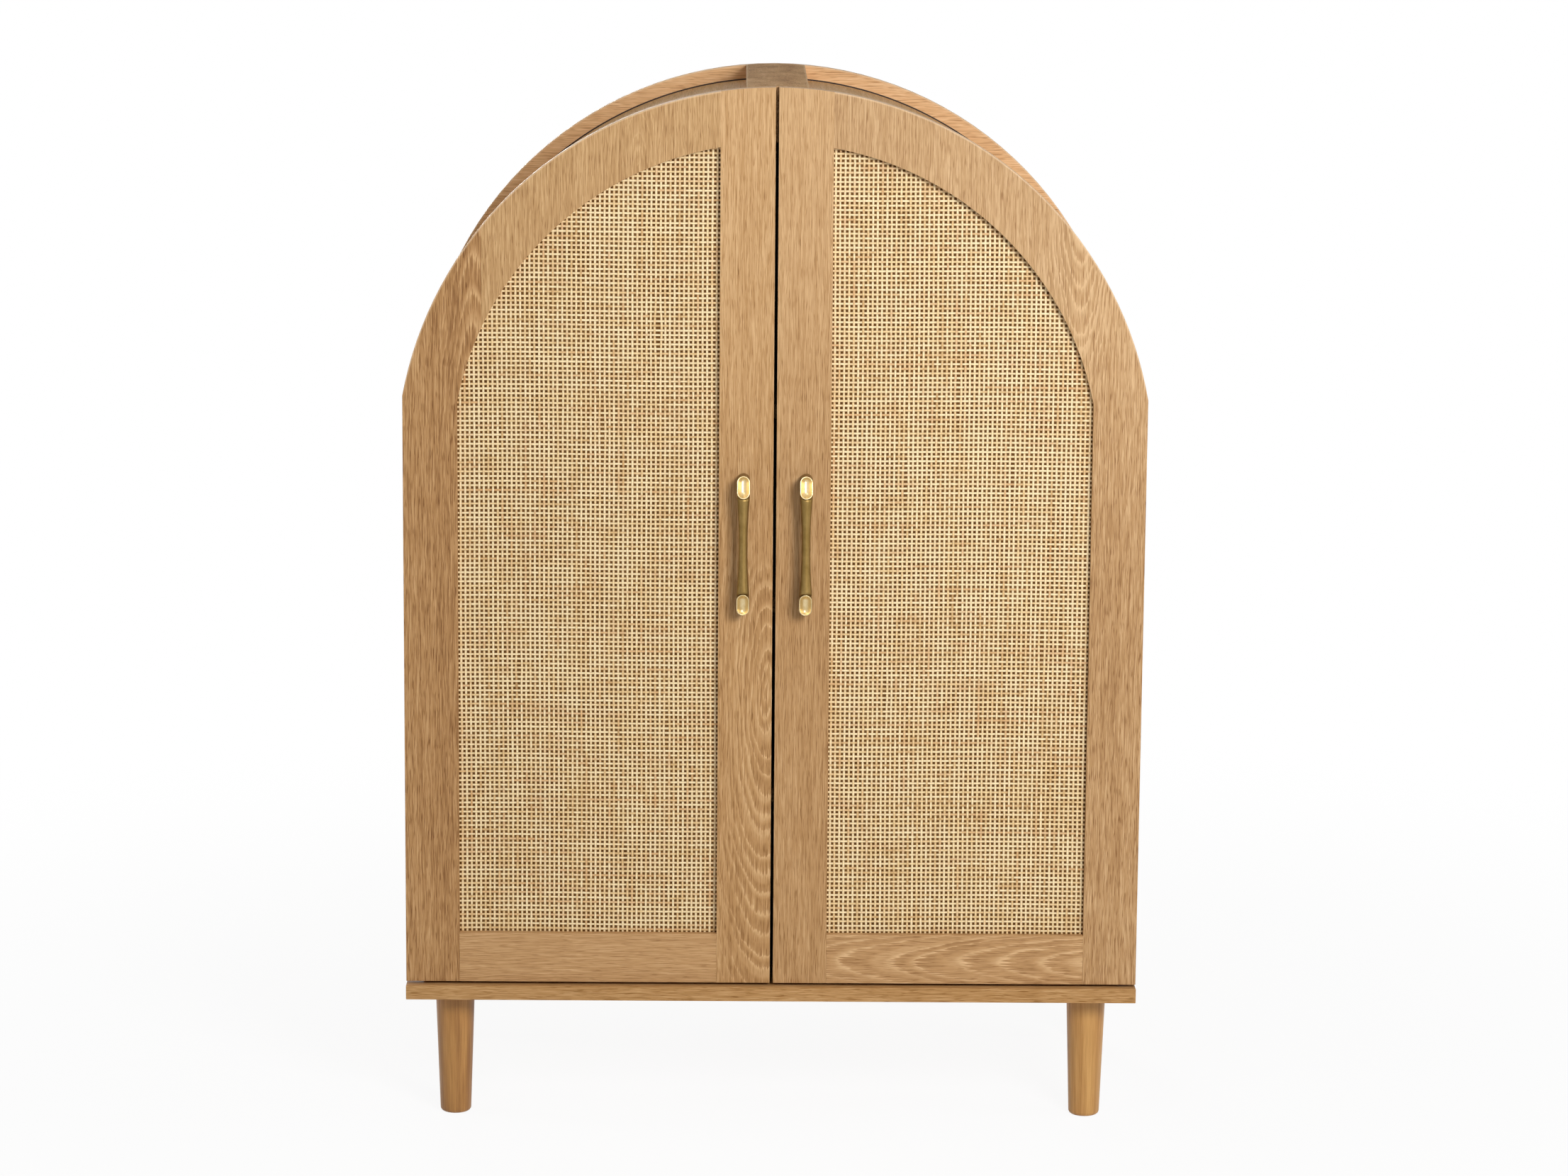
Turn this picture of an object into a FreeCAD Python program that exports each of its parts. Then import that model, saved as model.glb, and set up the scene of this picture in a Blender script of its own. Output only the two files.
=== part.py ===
import FreeCAD, Part
import math
import os
from types import SimpleNamespace

import Sketcher

# Driving dimensions in millimetres, the facet tilt in degrees
DIMENSIONS = {
    "cabinet_width": 800,
    "cabinet_height": 1138,
    "cabinet_depth": 400,
    "arch_rise": 332,
    "base_thickness": 16,
    "base_overhang": 8,
    "leg_height": 140,
    "leg_top_diameter": 44,
    "leg_foot_diameter": 34,
    "leg_foot_chamfer": 2,
    "leg_inset": 51,
    "rear_leg_inset": 29,
    "shell_inset": 17,
    "shell_thickness": 16,
    "back_thickness": 12,
    "ridge_width": 67,
    "ridge_height": 60,
    "shelf_thickness": 16,
    "shelf_setback": 20,
    "shelf_play": 1,
    "upper_shelf_drop": 11,
    "shelf_pin_diameter": 5,
    "shelf_pin_depth": 10,
    "shelf_pin_reach": 8,
    "shelf_pin_margin": 60,
    "door_thickness": 18,
    "door_foot_gap": 3,
    "door_hinge_gap": 3,
    "door_center_gap": 3.5,
    "frame_width": 58.5,
    "rail_width": 55,
    "stile_board": 85,
    "cane_setback": 8,
    "cane_thickness": 1.2,
    "cane_rebate": 10,
    "cane_play": 0.5,
    "hinge_height": 60,
    "hinge_margin": 85,
    "hinge_pin_diameter": 3,
    "hinge_pin_head": 1,
    "knuckle_diameter": 6.4,
    "knuckle_clearance": 1.3,
    "knuckle_gap": 0.3,
    "leaf_play": 0.2,
    "leaf_margin": 1,
    "leaf_screw_spacing": 36,
    "handle_inset": 32,
    "handle_spacing": 128,
    "handle_projection": 28,
    "handle_end_width": 14,
    "handle_waist": 9.6,
    "handle_post_height": 24,
    "handle_lip": 1,
    "handle_shoulder": 0.4,
    "scoop_depth": 3,
    "facet_tilt": 18,
    "handle_screw_diameter": 4,
    "handle_screw_bite": 12,
    "handle_screw_head": 8,
    "handle_screw_head_height": 2.2,
    "magnet_width": 16,
    "magnet_height": 10,
    "magnet_length": 10,
    "magnet_air": 0.3,
    "strike_width": 24,
    "strike_height": 14,
    "tenon_thickness": 6,
    "tenon_height": 28,
    "tenon_length": 14,
    "tongue_thickness": 5,
    "tongue_width": 16,
    "tongue_margin": 30,
    "housing_depth": 6,
    "bolt_diameter": 8,
    "bolt_bite": 28,
    "bolt_reach": 8,
    "panel_screw_diameter": 4.5,
    "panel_screw_length": 40,
    "panel_screw_head": 8.5,
    "panel_screw_head_height": 4,
    "panel_screw_margin": 60,
    "leaf_screw_diameter": 3,
    "leaf_screw_length": 14,
    "leaf_screw_head": 5.6,
    "leaf_screw_head_height": 0.9,
    "bore_clearance": 0.1,
    "pin_clearance": 0.08,
}

SHEET = "Sizes"
SHELF_NAMES = ("lower_shelf", "middle_shelf", "upper_shelf")
HINGES_PER_DOOR = 2
KNUCKLES_PER_HINGE = 3

# Small fasteners and hinge barrels have few sides, so that they take few facets
FASTENER_SIDES = 6
BARREL_SIDES = 8
PIN_SIDES = 12
ORIGIN = (0, 0, 0)

# Each sketch plane: origin plane, its two axes, its normal axis and whether the normal is turned round
AXES = "xyz"
PLANES = {
    "XY": ("XY_Plane", "x", "y", "z", False),
    "XZ": ("XZ_Plane", "x", "z", "y", True),
    "YZ": ("YZ_Plane", "y", "z", "x", False),
}

# Turns that point a part's own vertical axis along a cabinet axis
TURNS = {
    "+X": FreeCAD.Rotation(FreeCAD.Vector(0, 1, 0), 90),
    "+Y": FreeCAD.Rotation(FreeCAD.Vector(1, 0, 0), -90),
    "-Y": FreeCAD.Rotation(FreeCAD.Vector(1, 0, 0), 90),
    "+Z": FreeCAD.Rotation(),
}


class Size:
    """A length worked out from the sheet: its number now and the expression that keeps it."""

    def __init__(self, number, text):
        self.number = number
        self.text = text

    def __add__(self, other):
        other = as_size(other)
        return Size(self.number + other.number, f"({self.text} + {other.text})")

    def __radd__(self, other):
        return as_size(other) + self

    def __sub__(self, other):
        other = as_size(other)
        return Size(self.number - other.number, f"({self.text} - {other.text})")

    def __rsub__(self, other):
        return as_size(other) - self

    def __mul__(self, other):
        other = as_size(other)
        return Size(self.number * other.number, f"({self.text} * {other.text})")

    def __rmul__(self, other):
        return as_size(other) * self

    def __truediv__(self, other):
        other = as_size(other)
        return Size(self.number / other.number, f"({self.text} / {other.text})")

    def __neg__(self):
        return self * -1


def as_size(value):
    if isinstance(value, Size):
        return value
    return Size(float(value), f"({value})")


def root(size):
    return Size(math.sqrt(size.number), f"sqrt({size.text})")


def square(size):
    return size * size


def leg_of(hypotenuse, other):
    """Remaining side of a right triangle."""
    return root(square(hypotenuse) - square(other))


def arc_radius(half_chord, rise):
    """Radius of the arc that rises so far over a chord."""
    return (square(half_chord) + square(rise)) / (2 * rise)


def sine(angle):
    return Size(math.sin(math.radians(angle.number)), f"sin({angle.text})")


def cosine(angle):
    return Size(math.cos(math.radians(angle.number)), f"cos({angle.text})")


def place(target, point, turn=None):
    """Put an object at a point of the cabinet, bound to the sheet."""
    if turn is not None:
        target.Placement = FreeCAD.Placement(FreeCAD.Vector(), turn)
    for axis, value in zip("xyz", point):
        target.setExpression(f".Placement.Base.{axis}", as_size(value).text)


def arc_geometry(start, end, radius):
    """Arc under a half turn between two points; a positive radius turns left."""
    chord = end - start
    half = chord.Length / 2
    side = FreeCAD.Vector(-chord.y, chord.x, 0).normalize()
    reach = math.sqrt(max(radius * radius - half * half, 0))
    center = (start + end) * 0.5 + side * math.copysign(reach, radius)
    first, last = (start, end) if radius > 0 else (end, start)
    begin = math.atan2(first.y - center.y, first.x - center.x)
    finish = math.atan2(last.y - center.y, last.x - center.x)
    circle = Part.Circle(center, FreeCAD.Vector(0, 0, 1), abs(radius))
    return Part.ArcOfCircle(circle, begin, finish)


def draw(sketch, corners):
    """Closed outline through corners (u, v); a third value is the radius of the arc that follows."""
    spots = [FreeCAD.Vector(as_size(c[0]).number, as_size(c[1]).number, 0) for c in corners]
    count = len(corners)
    starts = []
    ends = []
    for index, corner in enumerate(corners):
        start, end = spots[index], spots[(index + 1) % count]
        turns_right = len(corner) > 2 and corner[2].number < 0
        if len(corner) > 2:
            sketch.addGeometry(arc_geometry(start, end, corner[2].number))
        else:
            sketch.addGeometry(Part.LineSegment(start, end))
        starts.append(2 if turns_right else 1)
        ends.append(1 if turns_right else 2)
    for index, corner in enumerate(corners):
        after = (index + 1) % count
        sketch.addConstraint(Sketcher.Constraint("Coincident", index, ends[index], after, starts[after]))
    for index, corner in enumerate(corners):
        for kind, value in zip(("DistanceX", "DistanceY"), corner):
            size = as_size(value)
            rule = Sketcher.Constraint(kind, -1, 1, index, starts[index], size.number)
            sketch.setExpression(f"Constraints[{sketch.addConstraint(rule)}]", size.text)
        if len(corner) > 2:
            radius = corner[2] if corner[2].number > 0 else -corner[2]
            rule = Sketcher.Constraint("Radius", index, radius.number)
            sketch.setExpression(f"Constraints[{sketch.addConstraint(rule)}]", radius.text)


class Piece:
    """One sub-part as a body; its outlines, turnings and holes are given in cabinet coordinates."""

    def __init__(self, label, at=ORIGIN):
        self.body = document.addObject("PartDesign::Body", label)
        self.body.Label = label
        self.at = [as_size(value) for value in at]
        self.count = 0
        place(self.body, self.at)

    def feature(self, kind, role):
        self.count += 1
        return self.body.newObject(kind, f"{self.body.Name}_{role}{self.count}")

    def sketch(self, plane, corners, level):
        role, *letters, turned_round = PLANES[plane]
        across, up, normal = (AXES.index(letter) for letter in letters)
        origin = [item for item in self.body.Origin.OriginFeatures if item.Role == role][0]
        sketch = self.feature("Sketcher::SketchObject", "outline")
        sketch.AttachmentSupport = (origin, [""])
        sketch.MapMode = "FlatFace"
        offset = self.at[normal] - level if turned_round else level - self.at[normal]
        sketch.setExpression(".AttachmentOffset.Base.z", offset.text)
        local = [(c[0] - self.at[across], c[1] - self.at[up], *c[2:]) for c in corners]
        draw(sketch, local)
        return sketch

    def pad(self, plane, corners, level, length):
        """Add an outline from a level, towards the positive side of the plane's axis."""
        pad = self.feature("PartDesign::Pad", "pad")
        pad.Profile = self.sketch(plane, corners, level)
        pad.Reversed = PLANES[plane][-1]
        pad.setExpression("Length", as_size(length).text)
        return self

    def cut(self, plane, corners, level, length):
        """Remove an outline from a level, towards the positive side of the plane's axis."""
        pocket = self.feature("PartDesign::Pocket", "cut")
        pocket.Profile = self.sketch(plane, corners, level)
        pocket.Reversed = not PLANES[plane][-1]
        pocket.setExpression("Length", as_size(length).text)
        return self

    def turn(self, corners):
        """Turn an outline of radius and height about the piece's own vertical axis."""
        profile = [(c[0] + self.at[0], c[1] + self.at[2], *c[2:]) for c in corners]
        sketch = self.sketch("XZ", profile, self.at[1])
        revolution = self.feature("PartDesign::Revolution", "turned")
        revolution.Profile = sketch
        revolution.ReferenceAxis = (sketch, ["V_Axis"])
        revolution.Angle = 360
        return self

    def primitive(self, kind, point, along, **sizes):
        """Add or remove a simple round form that starts at a point and runs along an axis."""
        form = self.feature(f"PartDesign::{kind}", "form")
        for name, size in sizes.items():
            form.setExpression(name, as_size(size).text)
        turn = TURNS[along] if isinstance(along, str) else along
        place(form, [a - b for a, b in zip(point, self.at)], turn)
        return form

    def prism(self, kind, point, along, sides, diameter, height):
        """Add or remove a bar with the given number of sides."""
        form = self.primitive(f"{kind}Prism", point, along, Circumradius=diameter / 2, Height=height)
        form.Polygon = sides
        return self

    def drill(self, point, along, diameter, depth):
        wide = diameter + 2 * dim.bore_clearance
        return self.prism("Subtractive", point, along, FASTENER_SIDES, wide, depth)


def peg(label, diameter, length, head=None, head_height=None):
    """Pin, bolt or screw that points up from the flat face of its head."""
    piece = Piece(label)
    piece.prism("Additive", ORIGIN, "+Z", FASTENER_SIDES, diameter, length)
    if head is not None:
        piece.prism("Additive", ORIGIN, "+Z", FASTENER_SIDES, head, head_height)
    return piece


def keep(target):
    """Count an object of the document among the sub-parts that are written out."""
    sub_parts.append(target)
    return target


def group(label, source, spots):
    """Identical pieces as one sub-part: a first piece and linked copies of it."""
    members = []
    for index, (point, along) in enumerate(spots):
        member = source.body if index == 0 else document.addObject("App::Link", f"{label}_copy{index}")
        if index > 0:
            member.LinkedObject = source.body
        place(member, point, TURNS[along])
        members.append(member)
    return gather(label, members)


def gather(label, members):
    bundle = document.addObject("Part::Compound", label)
    bundle.Label = label
    bundle.Links = members
    return keep(bundle)


def mirror(label, source):
    """The left-hand twin of a right-hand sub-part."""
    twin = document.addObject("Part::Mirroring", label)
    twin.Label = label
    twin.Source = source
    twin.Base = FreeCAD.Vector(0, 0, 0)
    twin.Normal = FreeCAD.Vector(1, 0, 0)
    return keep(twin)


def rectangle(low, high):
    return [(low[0], low[1]), (high[0], low[1]), (high[0], high[1]), (low[0], high[1])]


document = FreeCAD.newDocument("arched_cane_cabinet")
sheet = document.addObject("Spreadsheet::Sheet", SHEET)
for row, (name, value) in enumerate(DIMENSIONS.items(), start=1):
    sheet.set(f"A{row}", name)
    sheet.set(f"B{row}", str(value))
    sheet.setAlias(f"B{row}", name)
document.recompute()
dim = SimpleNamespace(**{name: Size(float(sheet.get(name)), f"{SHEET}.{name}") for name in DIMENSIONS})
sub_parts = []

# Shared places: the outline, with an arch of one radius above straight sides
half_width = dim.cabinet_width / 2
spring_z = dim.cabinet_height - dim.arch_rise
arch_radius = arc_radius(half_width, dim.arch_rise)
arch_center_z = dim.cabinet_height - arch_radius
base_top = dim.leg_height + dim.base_thickness

# Shared places: depth, with the front at the low side of Y
door_front = (dim.handle_projection - dim.cabinet_depth) / 2
door_back = door_front + dim.door_thickness
shell_front = door_back + dim.door_hinge_gap
rear = door_front + dim.cabinet_depth
back_front = rear - dim.back_thickness
shell_depth = back_front - shell_front
base_front = door_front - dim.base_overhang

# Shared places: the shell between doors and back
shell_radius = arch_radius - dim.shell_inset
shell_inner_radius = shell_radius - dim.shell_thickness
shell_middle_radius = shell_radius - dim.shell_thickness / 2
side_outer = half_width - dim.shell_inset
side_inner = side_outer - dim.shell_thickness
side_middle = side_outer - dim.shell_thickness / 2
ridge_half = dim.ridge_width / 2
ridge_bottom = dim.cabinet_height - dim.ridge_height
ridge_middle_z = dim.cabinet_height - dim.ridge_height / 2


def arch_z(radius, x):
    """Height of a circle about the arch's centre at a distance from the middle."""
    return arch_center_z + leg_of(radius, x)


side_top = arch_z(shell_radius, side_outer)
shelf_pitch = (side_top - base_top - dim.upper_shelf_drop) / len(SHELF_NAMES)

# Shared places: the right-hand door
door_bottom = base_top + dim.door_foot_gap
door_inner = dim.door_center_gap / 2
stile_inner = door_inner + dim.frame_width
stile_joint = half_width - dim.stile_board
opening_outer = half_width - dim.frame_width
opening_bottom = door_bottom + dim.rail_width
opening_radius = arch_radius - dim.frame_width
cane_front = door_front + dim.cane_setback
bead_front = cane_front + dim.cane_thickness

# Shared places: hinges, handle and catch
hinge_x = side_outer + dim.knuckle_diameter / 2 + dim.knuckle_clearance
hinge_y = door_back + dim.door_hinge_gap / 2
leaf_thickness = (dim.door_hinge_gap - dim.leaf_play) / 2
leaf_edge = side_inner + dim.leaf_margin
leaf_screw_x = (leaf_edge + side_outer) / 2
hinge_low = door_bottom + dim.hinge_margin
hinge_step = (side_top - dim.hinge_margin - hinge_low) / (HINGES_PER_DOOR - 1)
hinge_heights = [hinge_low + hinge_step * index for index in range(HINGES_PER_DOOR)]
handle_x = door_inner + dim.handle_inset
handle_z = (door_bottom + dim.cabinet_height) / 2
post_heights = [handle_z + dim.handle_spacing * side / 2 for side in (-1, 1)]
catch_x = dim.ridge_width / 4

# Shared places: joints of the shell and the height rows of its back screws
tongue_front = shell_front + dim.tongue_margin
tongue_length = shell_depth - 2 * dim.tongue_margin
crown_z = arch_z(shell_middle_radius, ridge_half)
housing_bottom = base_top - dim.housing_depth
height_rows = [base_top + dim.panel_screw_margin, side_top - dim.panel_screw_margin]


def both_sides(x, y, z):
    return [(x, y, z), (-x, y, z)]


def foot_tongue(side, slack=0):
    """Outline of the tongue between a side panel and its roof half."""
    across = dim.tongue_thickness / 2 + slack
    reach = dim.tongue_width / 2 + slack
    low = (side * (side_middle - across), side_top - reach)
    high = (side * (side_middle + across), side_top + reach)
    return rectangle(low, high)


def crown_tongue(side, slack=0):
    """Outline of the tongue between a roof half and the ridge beam."""
    across = dim.tongue_thickness / 2 + slack
    reach = dim.tongue_width / 2 + slack
    low = (side * (ridge_half - reach), crown_z - across)
    high = (side * (ridge_half + reach), crown_z + across)
    return rectangle(low, high)


def groove(piece, tongue, side):
    """Stopped groove for a tongue."""
    slack = dim.bore_clearance
    piece.cut("XZ", tongue(side, slack), tongue_front - slack, tongue_length + 2 * slack)


def panel_screw_hole(piece, point, along):
    piece.drill(point, along, dim.panel_screw_diameter, dim.panel_screw_length + dim.bore_clearance)


# Base board with leg bolt holes, housings for the sides and a rebate for the back
leg_rows = {
    "front": (half_width - dim.leg_inset, base_front + dim.leg_inset),
    "rear": (half_width - dim.rear_leg_inset, rear - dim.leg_inset),
}
leg_spots = [spot for x, y in leg_rows.values() for spot in both_sides(x, y, dim.leg_height)]
base = Piece("base_board", (0, 0, dim.leg_height))
base.pad("XY", rectangle((-half_width, base_front), (half_width, rear)), dim.leg_height, dim.base_thickness)
for spot in leg_spots:
    base.drill(spot, "+Z", dim.bolt_diameter, dim.bolt_reach + dim.bore_clearance)
for side in (-1, 1):
    near = (side * (side_inner - dim.bore_clearance), shell_front - dim.bore_clearance)
    far = (side * (side_outer + dim.bore_clearance), back_front)
    base.cut("XY", rectangle(near, far), housing_bottom, dim.housing_depth)
base.cut("XY", rectangle((-half_width, back_front), (half_width, rear)), housing_bottom, dim.housing_depth)
keep(base.body)

# Side panels, housed in the base, grooved at the top and bored for shelf pins and screws
shelf_tops = [base_top + shelf_pitch * (index + 1) for index in range(len(SHELF_NAMES))]
pin_radius = dim.shelf_pin_diameter / 2
pin_rows = [shell_front + dim.shelf_pin_margin, back_front - dim.shelf_pin_margin]
pin_spots = [
    (side_inner, y, top - dim.shelf_thickness - pin_radius - dim.bore_clearance / 2)
    for top in shelf_tops
    for y in pin_rows
]
side_panel = Piece("right_side_panel", (side_inner, shell_front, housing_bottom))
side_outline = rectangle((side_inner, shell_front), (side_outer, back_front))
side_panel.pad("XY", side_outline, housing_bottom, side_top - housing_bottom)
groove(side_panel, foot_tongue, 1)
for x, y, z in pin_spots:
    side_panel.drill((x, y, z), "+X", dim.shelf_pin_diameter, dim.shelf_pin_depth)
for z in height_rows:
    panel_screw_hole(side_panel, (side_middle, rear, z), "-Y")
for z in hinge_heights:
    for side in (-1, 1):
        spot = (leaf_screw_x, shell_front, z + dim.leaf_screw_spacing * side / 2)
        side_panel.drill(spot, "+Y", dim.leaf_screw_diameter, dim.leaf_screw_length)
mirror("left_side_panel", keep(side_panel.body))

# Bent roof halves between the side panels and the ridge beam
roof_foot = leg_of(shell_inner_radius, side_top - arch_center_z)
roof_outline = [
    (side_outer, side_top, shell_radius),
    (ridge_half, arch_z(shell_radius, ridge_half)),
    (ridge_half, arch_z(shell_inner_radius, ridge_half), -shell_inner_radius),
    (roof_foot, side_top),
]
roof = Piece("right_roof_panel", (0, shell_front, 0))
roof.pad("XZ", roof_outline, shell_front, shell_depth)
groove(roof, foot_tongue, 1)
groove(roof, crown_tongue, 1)
mirror("left_roof_panel", keep(roof.body))

# Ridge beam, flush with the doors' arch, with tongue grooves and seats for the catch magnets
magnet_half = dim.magnet_width / 2
magnet_rise = dim.magnet_height / 2
magnet_seat = dim.magnet_length - (dim.door_hinge_gap - leaf_thickness - dim.magnet_air)
ridge_outline = [
    (-ridge_half, ridge_bottom),
    (ridge_half, ridge_bottom),
    (ridge_half, arch_z(arch_radius, ridge_half), arch_radius),
    (-ridge_half, arch_z(arch_radius, ridge_half)),
]
ridge = Piece("ridge_beam", (0, shell_front, 0))
ridge.pad("XZ", ridge_outline, shell_front, shell_depth)
for side in (-1, 1):
    groove(ridge, crown_tongue, side)
    magnet_x = catch_x * side
    near = (magnet_x - magnet_half - dim.bore_clearance, ridge_middle_z - magnet_rise - dim.bore_clearance)
    far = (magnet_x + magnet_half + dim.bore_clearance, ridge_middle_z + magnet_rise + dim.bore_clearance)
    ridge.cut("XZ", rectangle(near, far), shell_front, magnet_seat)
    panel_screw_hole(ridge, (magnet_x, rear, ridge_middle_z), "-Y")
keep(ridge.body)

# Back panel in the same outline as the pair of doors, screwed to the shell
back_outline = [
    (-half_width, housing_bottom),
    (half_width, housing_bottom),
    (half_width, spring_z, arch_radius),
    (as_size(0), dim.cabinet_height, arch_radius),
    (-half_width, spring_z),
]
back_screw_spots = [spot for z in height_rows for spot in both_sides(side_middle, rear, z)]
back_screw_spots += both_sides(catch_x, rear, ridge_middle_z)
back = Piece("back_panel", (0, back_front, 0))
back.pad("XZ", back_outline, back_front, dim.back_thickness)
for spot in back_screw_spots:
    panel_screw_hole(back, spot, "-Y")
    back.drill(spot, "-Y", dim.panel_screw_head, dim.panel_screw_head_height)
keep(back.body)

back_screw = peg(
    "back_screw",
    dim.panel_screw_diameter,
    dim.panel_screw_length,
    dim.panel_screw_head,
    dim.panel_screw_head_height,
)
group("back_screws", back_screw, [(spot, "-Y") for spot in back_screw_spots])

# Shelves on pins
shelf_half = side_inner - dim.shelf_play
shelf_front = shell_front + dim.shelf_setback
shelf_rear = back_front - dim.shelf_play
for name, top in zip(SHELF_NAMES, shelf_tops):
    shelf = Piece(name, (0, 0, top - dim.shelf_thickness))
    outline = rectangle((-shelf_half, shelf_front), (shelf_half, shelf_rear))
    shelf.pad("XY", outline, top - dim.shelf_thickness, dim.shelf_thickness)
    keep(shelf.body)

pin_length = dim.shelf_pin_depth + dim.shelf_pin_reach
pin = peg("shelf_pin", dim.shelf_pin_diameter, pin_length)
pin_start = side_inner - dim.shelf_pin_reach
pin_places = [((pin_start, y, z), "+X") for x, y, z in pin_spots]
pin_places += [((-pin_start - pin_length, y, z), "+X") for x, y, z in pin_spots]
group("shelf_pins", pin, pin_places)

# Tapered round legs, each on a bolt that reaches up into the base
foot_radius = dim.leg_foot_diameter / 2
leg_outline = [
    (as_size(0), as_size(0)),
    (foot_radius - dim.leg_foot_chamfer, as_size(0)),
    (foot_radius, dim.leg_foot_chamfer),
    (dim.leg_top_diameter / 2, dim.leg_height),
    (as_size(0), dim.leg_height),
]
for row, (x, y) in leg_rows.items():
    leg = Piece(f"{row}_leg")
    leg.turn(leg_outline)
    leg.drill((0, 0, dim.leg_height - dim.bolt_bite), "+Z", dim.bolt_diameter, dim.bolt_bite)
    group(f"{row}_legs", leg, [(spot, "+Z") for spot in both_sides(x, y, 0)])

bolt = peg("leg_bolt", dim.bolt_diameter, dim.bolt_bite + dim.bolt_reach)
group("leg_bolts", bolt, [((x, y, z - dim.bolt_bite), "+Z") for x, y, z in leg_spots])

# Loose tongues that join the roof halves to the sides and to the ridge
tongues = []
for hand, side in (("left", -1), ("right", 1)):
    for place_name, outline in (("foot", foot_tongue(side)), ("crown", crown_tongue(side))):
        tongue = Piece(f"{hand}_{place_name}_tongue", (0, tongue_front, 0))
        tongue.pad("XZ", outline, tongue_front, tongue_length)
        tongues.append(tongue.body)
gather("shell_tongues", tongues)

# Block magnets in the front of the ridge beam
magnet_front = shell_front + magnet_seat - dim.magnet_length
magnet = Piece("catch_magnet")
magnet_outline = rectangle((-magnet_half, -magnet_rise), (magnet_half, magnet_rise))
magnet.pad("XZ", magnet_outline, as_size(0), dim.magnet_length)
magnet_spots = both_sides(catch_x, magnet_front, ridge_middle_z)
group("catch_magnets", magnet, [(spot, "+Z") for spot in magnet_spots])


def opening(margin):
    """Outline of the cane opening, grown by a margin all round."""
    inner = stile_inner - margin
    outer = opening_outer + margin
    bottom = opening_bottom - margin
    radius = opening_radius + margin
    return [
        (inner, bottom),
        (outer, bottom),
        (outer, arch_z(radius, outer), radius),
        (inner, arch_z(radius, inner)),
    ]


# Door joints: the plane of each, the way its tenon points and its middle height
rebate_radius = opening_radius + dim.cane_rebate
rail_z = door_bottom + (dim.rail_width - dim.cane_rebate) / 2


def arch_middle_z(x):
    return (arch_z(arch_radius, x) + arch_z(rebate_radius, x)) / 2


door_joints = {
    "inner_rail": (stile_inner, -1, rail_z),
    "outer_rail": (opening_outer, 1, rail_z),
    "crown": (stile_inner, -1, arch_middle_z(stile_inner)),
    "shoulder": (stile_joint, 1, arch_middle_z(stile_joint)),
}
tenon_front = door_front + (dim.door_thickness - dim.tenon_thickness) / 2


def tenon_outline(joint, slack=0):
    x, way, z = door_joints[joint]
    rise = dim.tenon_height / 2 + slack
    return rectangle((x, z - rise), (x + way * (dim.tenon_length + slack), z + rise))


def frame_member(label, outline, tenons=(), mortises=()):
    """Door frame member: full-thickness outline, rebated behind for the cane, jointed at its ends."""
    member = Piece(label, (0, door_front, 0))
    member.pad("XZ", outline, door_front, dim.door_thickness)
    member.cut("XZ", opening(dim.cane_rebate), cane_front, dim.door_thickness - dim.cane_setback)
    for joint in tenons:
        member.pad("XZ", tenon_outline(joint), tenon_front, dim.tenon_thickness)
    slack = dim.bore_clearance
    for joint in mortises:
        member.cut("XZ", tenon_outline(joint, slack), tenon_front - slack, dim.tenon_thickness + 2 * slack)
    return member


outer_stile = frame_member(
    "right_outer_stile",
    [
        (opening_outer, door_bottom),
        (half_width, door_bottom),
        (half_width, spring_z, arch_radius),
        (stile_joint, arch_z(arch_radius, stile_joint)),
        (stile_joint, arch_z(opening_radius, stile_joint), -opening_radius),
        (opening_outer, arch_z(opening_radius, opening_outer)),
    ],
    mortises=("outer_rail", "shoulder"),
)
inner_stile = frame_member(
    "right_inner_stile",
    [
        (door_inner, door_bottom),
        (stile_inner, door_bottom),
        (stile_inner, arch_z(arch_radius, stile_inner), arch_radius),
        (door_inner, arch_z(arch_radius, door_inner)),
    ],
    mortises=("inner_rail", "crown"),
)
arch_rail = frame_member(
    "right_arch_rail",
    [
        (stile_inner, arch_z(opening_radius, stile_inner), -opening_radius),
        (stile_joint, arch_z(opening_radius, stile_joint)),
        (stile_joint, arch_z(arch_radius, stile_joint), arch_radius),
        (stile_inner, arch_z(arch_radius, stile_inner)),
    ],
    tenons=("crown", "shoulder"),
)
bottom_rail = frame_member(
    "right_bottom_rail",
    rectangle((stile_inner, door_bottom), (opening_outer, opening_bottom)),
    tenons=("inner_rail", "outer_rail"),
)

# Grooves behind the outer stile for the knuckles, and its hinge screw holes
groove_diameter = dim.knuckle_diameter + 2 * dim.knuckle_gap
groove_height = dim.hinge_height + 2 * dim.hinge_pin_head + 2 * dim.knuckle_gap
for z in hinge_heights:
    groove_start = (hinge_x, hinge_y, z - groove_height / 2)
    outer_stile.prism("Subtractive", groove_start, "+Z", BARREL_SIDES, groove_diameter, groove_height)
    for side in (-1, 1):
        spot = (leaf_screw_x, door_back, z + dim.leaf_screw_spacing * side / 2)
        outer_stile.drill(spot, "-Y", dim.leaf_screw_diameter, dim.leaf_screw_length)

# Handle and catch holes through and into the inner stile
for z in post_heights:
    inner_stile.drill((handle_x, door_front, z), "+Y", dim.handle_screw_diameter, dim.door_thickness)
catch_spot = (catch_x, door_back, ridge_middle_z)
inner_stile.drill(catch_spot, "-Y", dim.leaf_screw_diameter, dim.leaf_screw_length)

for member in (outer_stile, inner_stile, arch_rail, bottom_rail):
    mirror(member.body.Label.replace("right", "left"), keep(member.body))

# Cane sheet in the rebate, held from behind by four beads
cane = Piece("right_cane_panel", (0, cane_front, 0))
cane.pad("XZ", opening(dim.cane_rebate - dim.cane_play), cane_front, dim.cane_thickness)
mirror("left_cane_panel", keep(cane.body))

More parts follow.
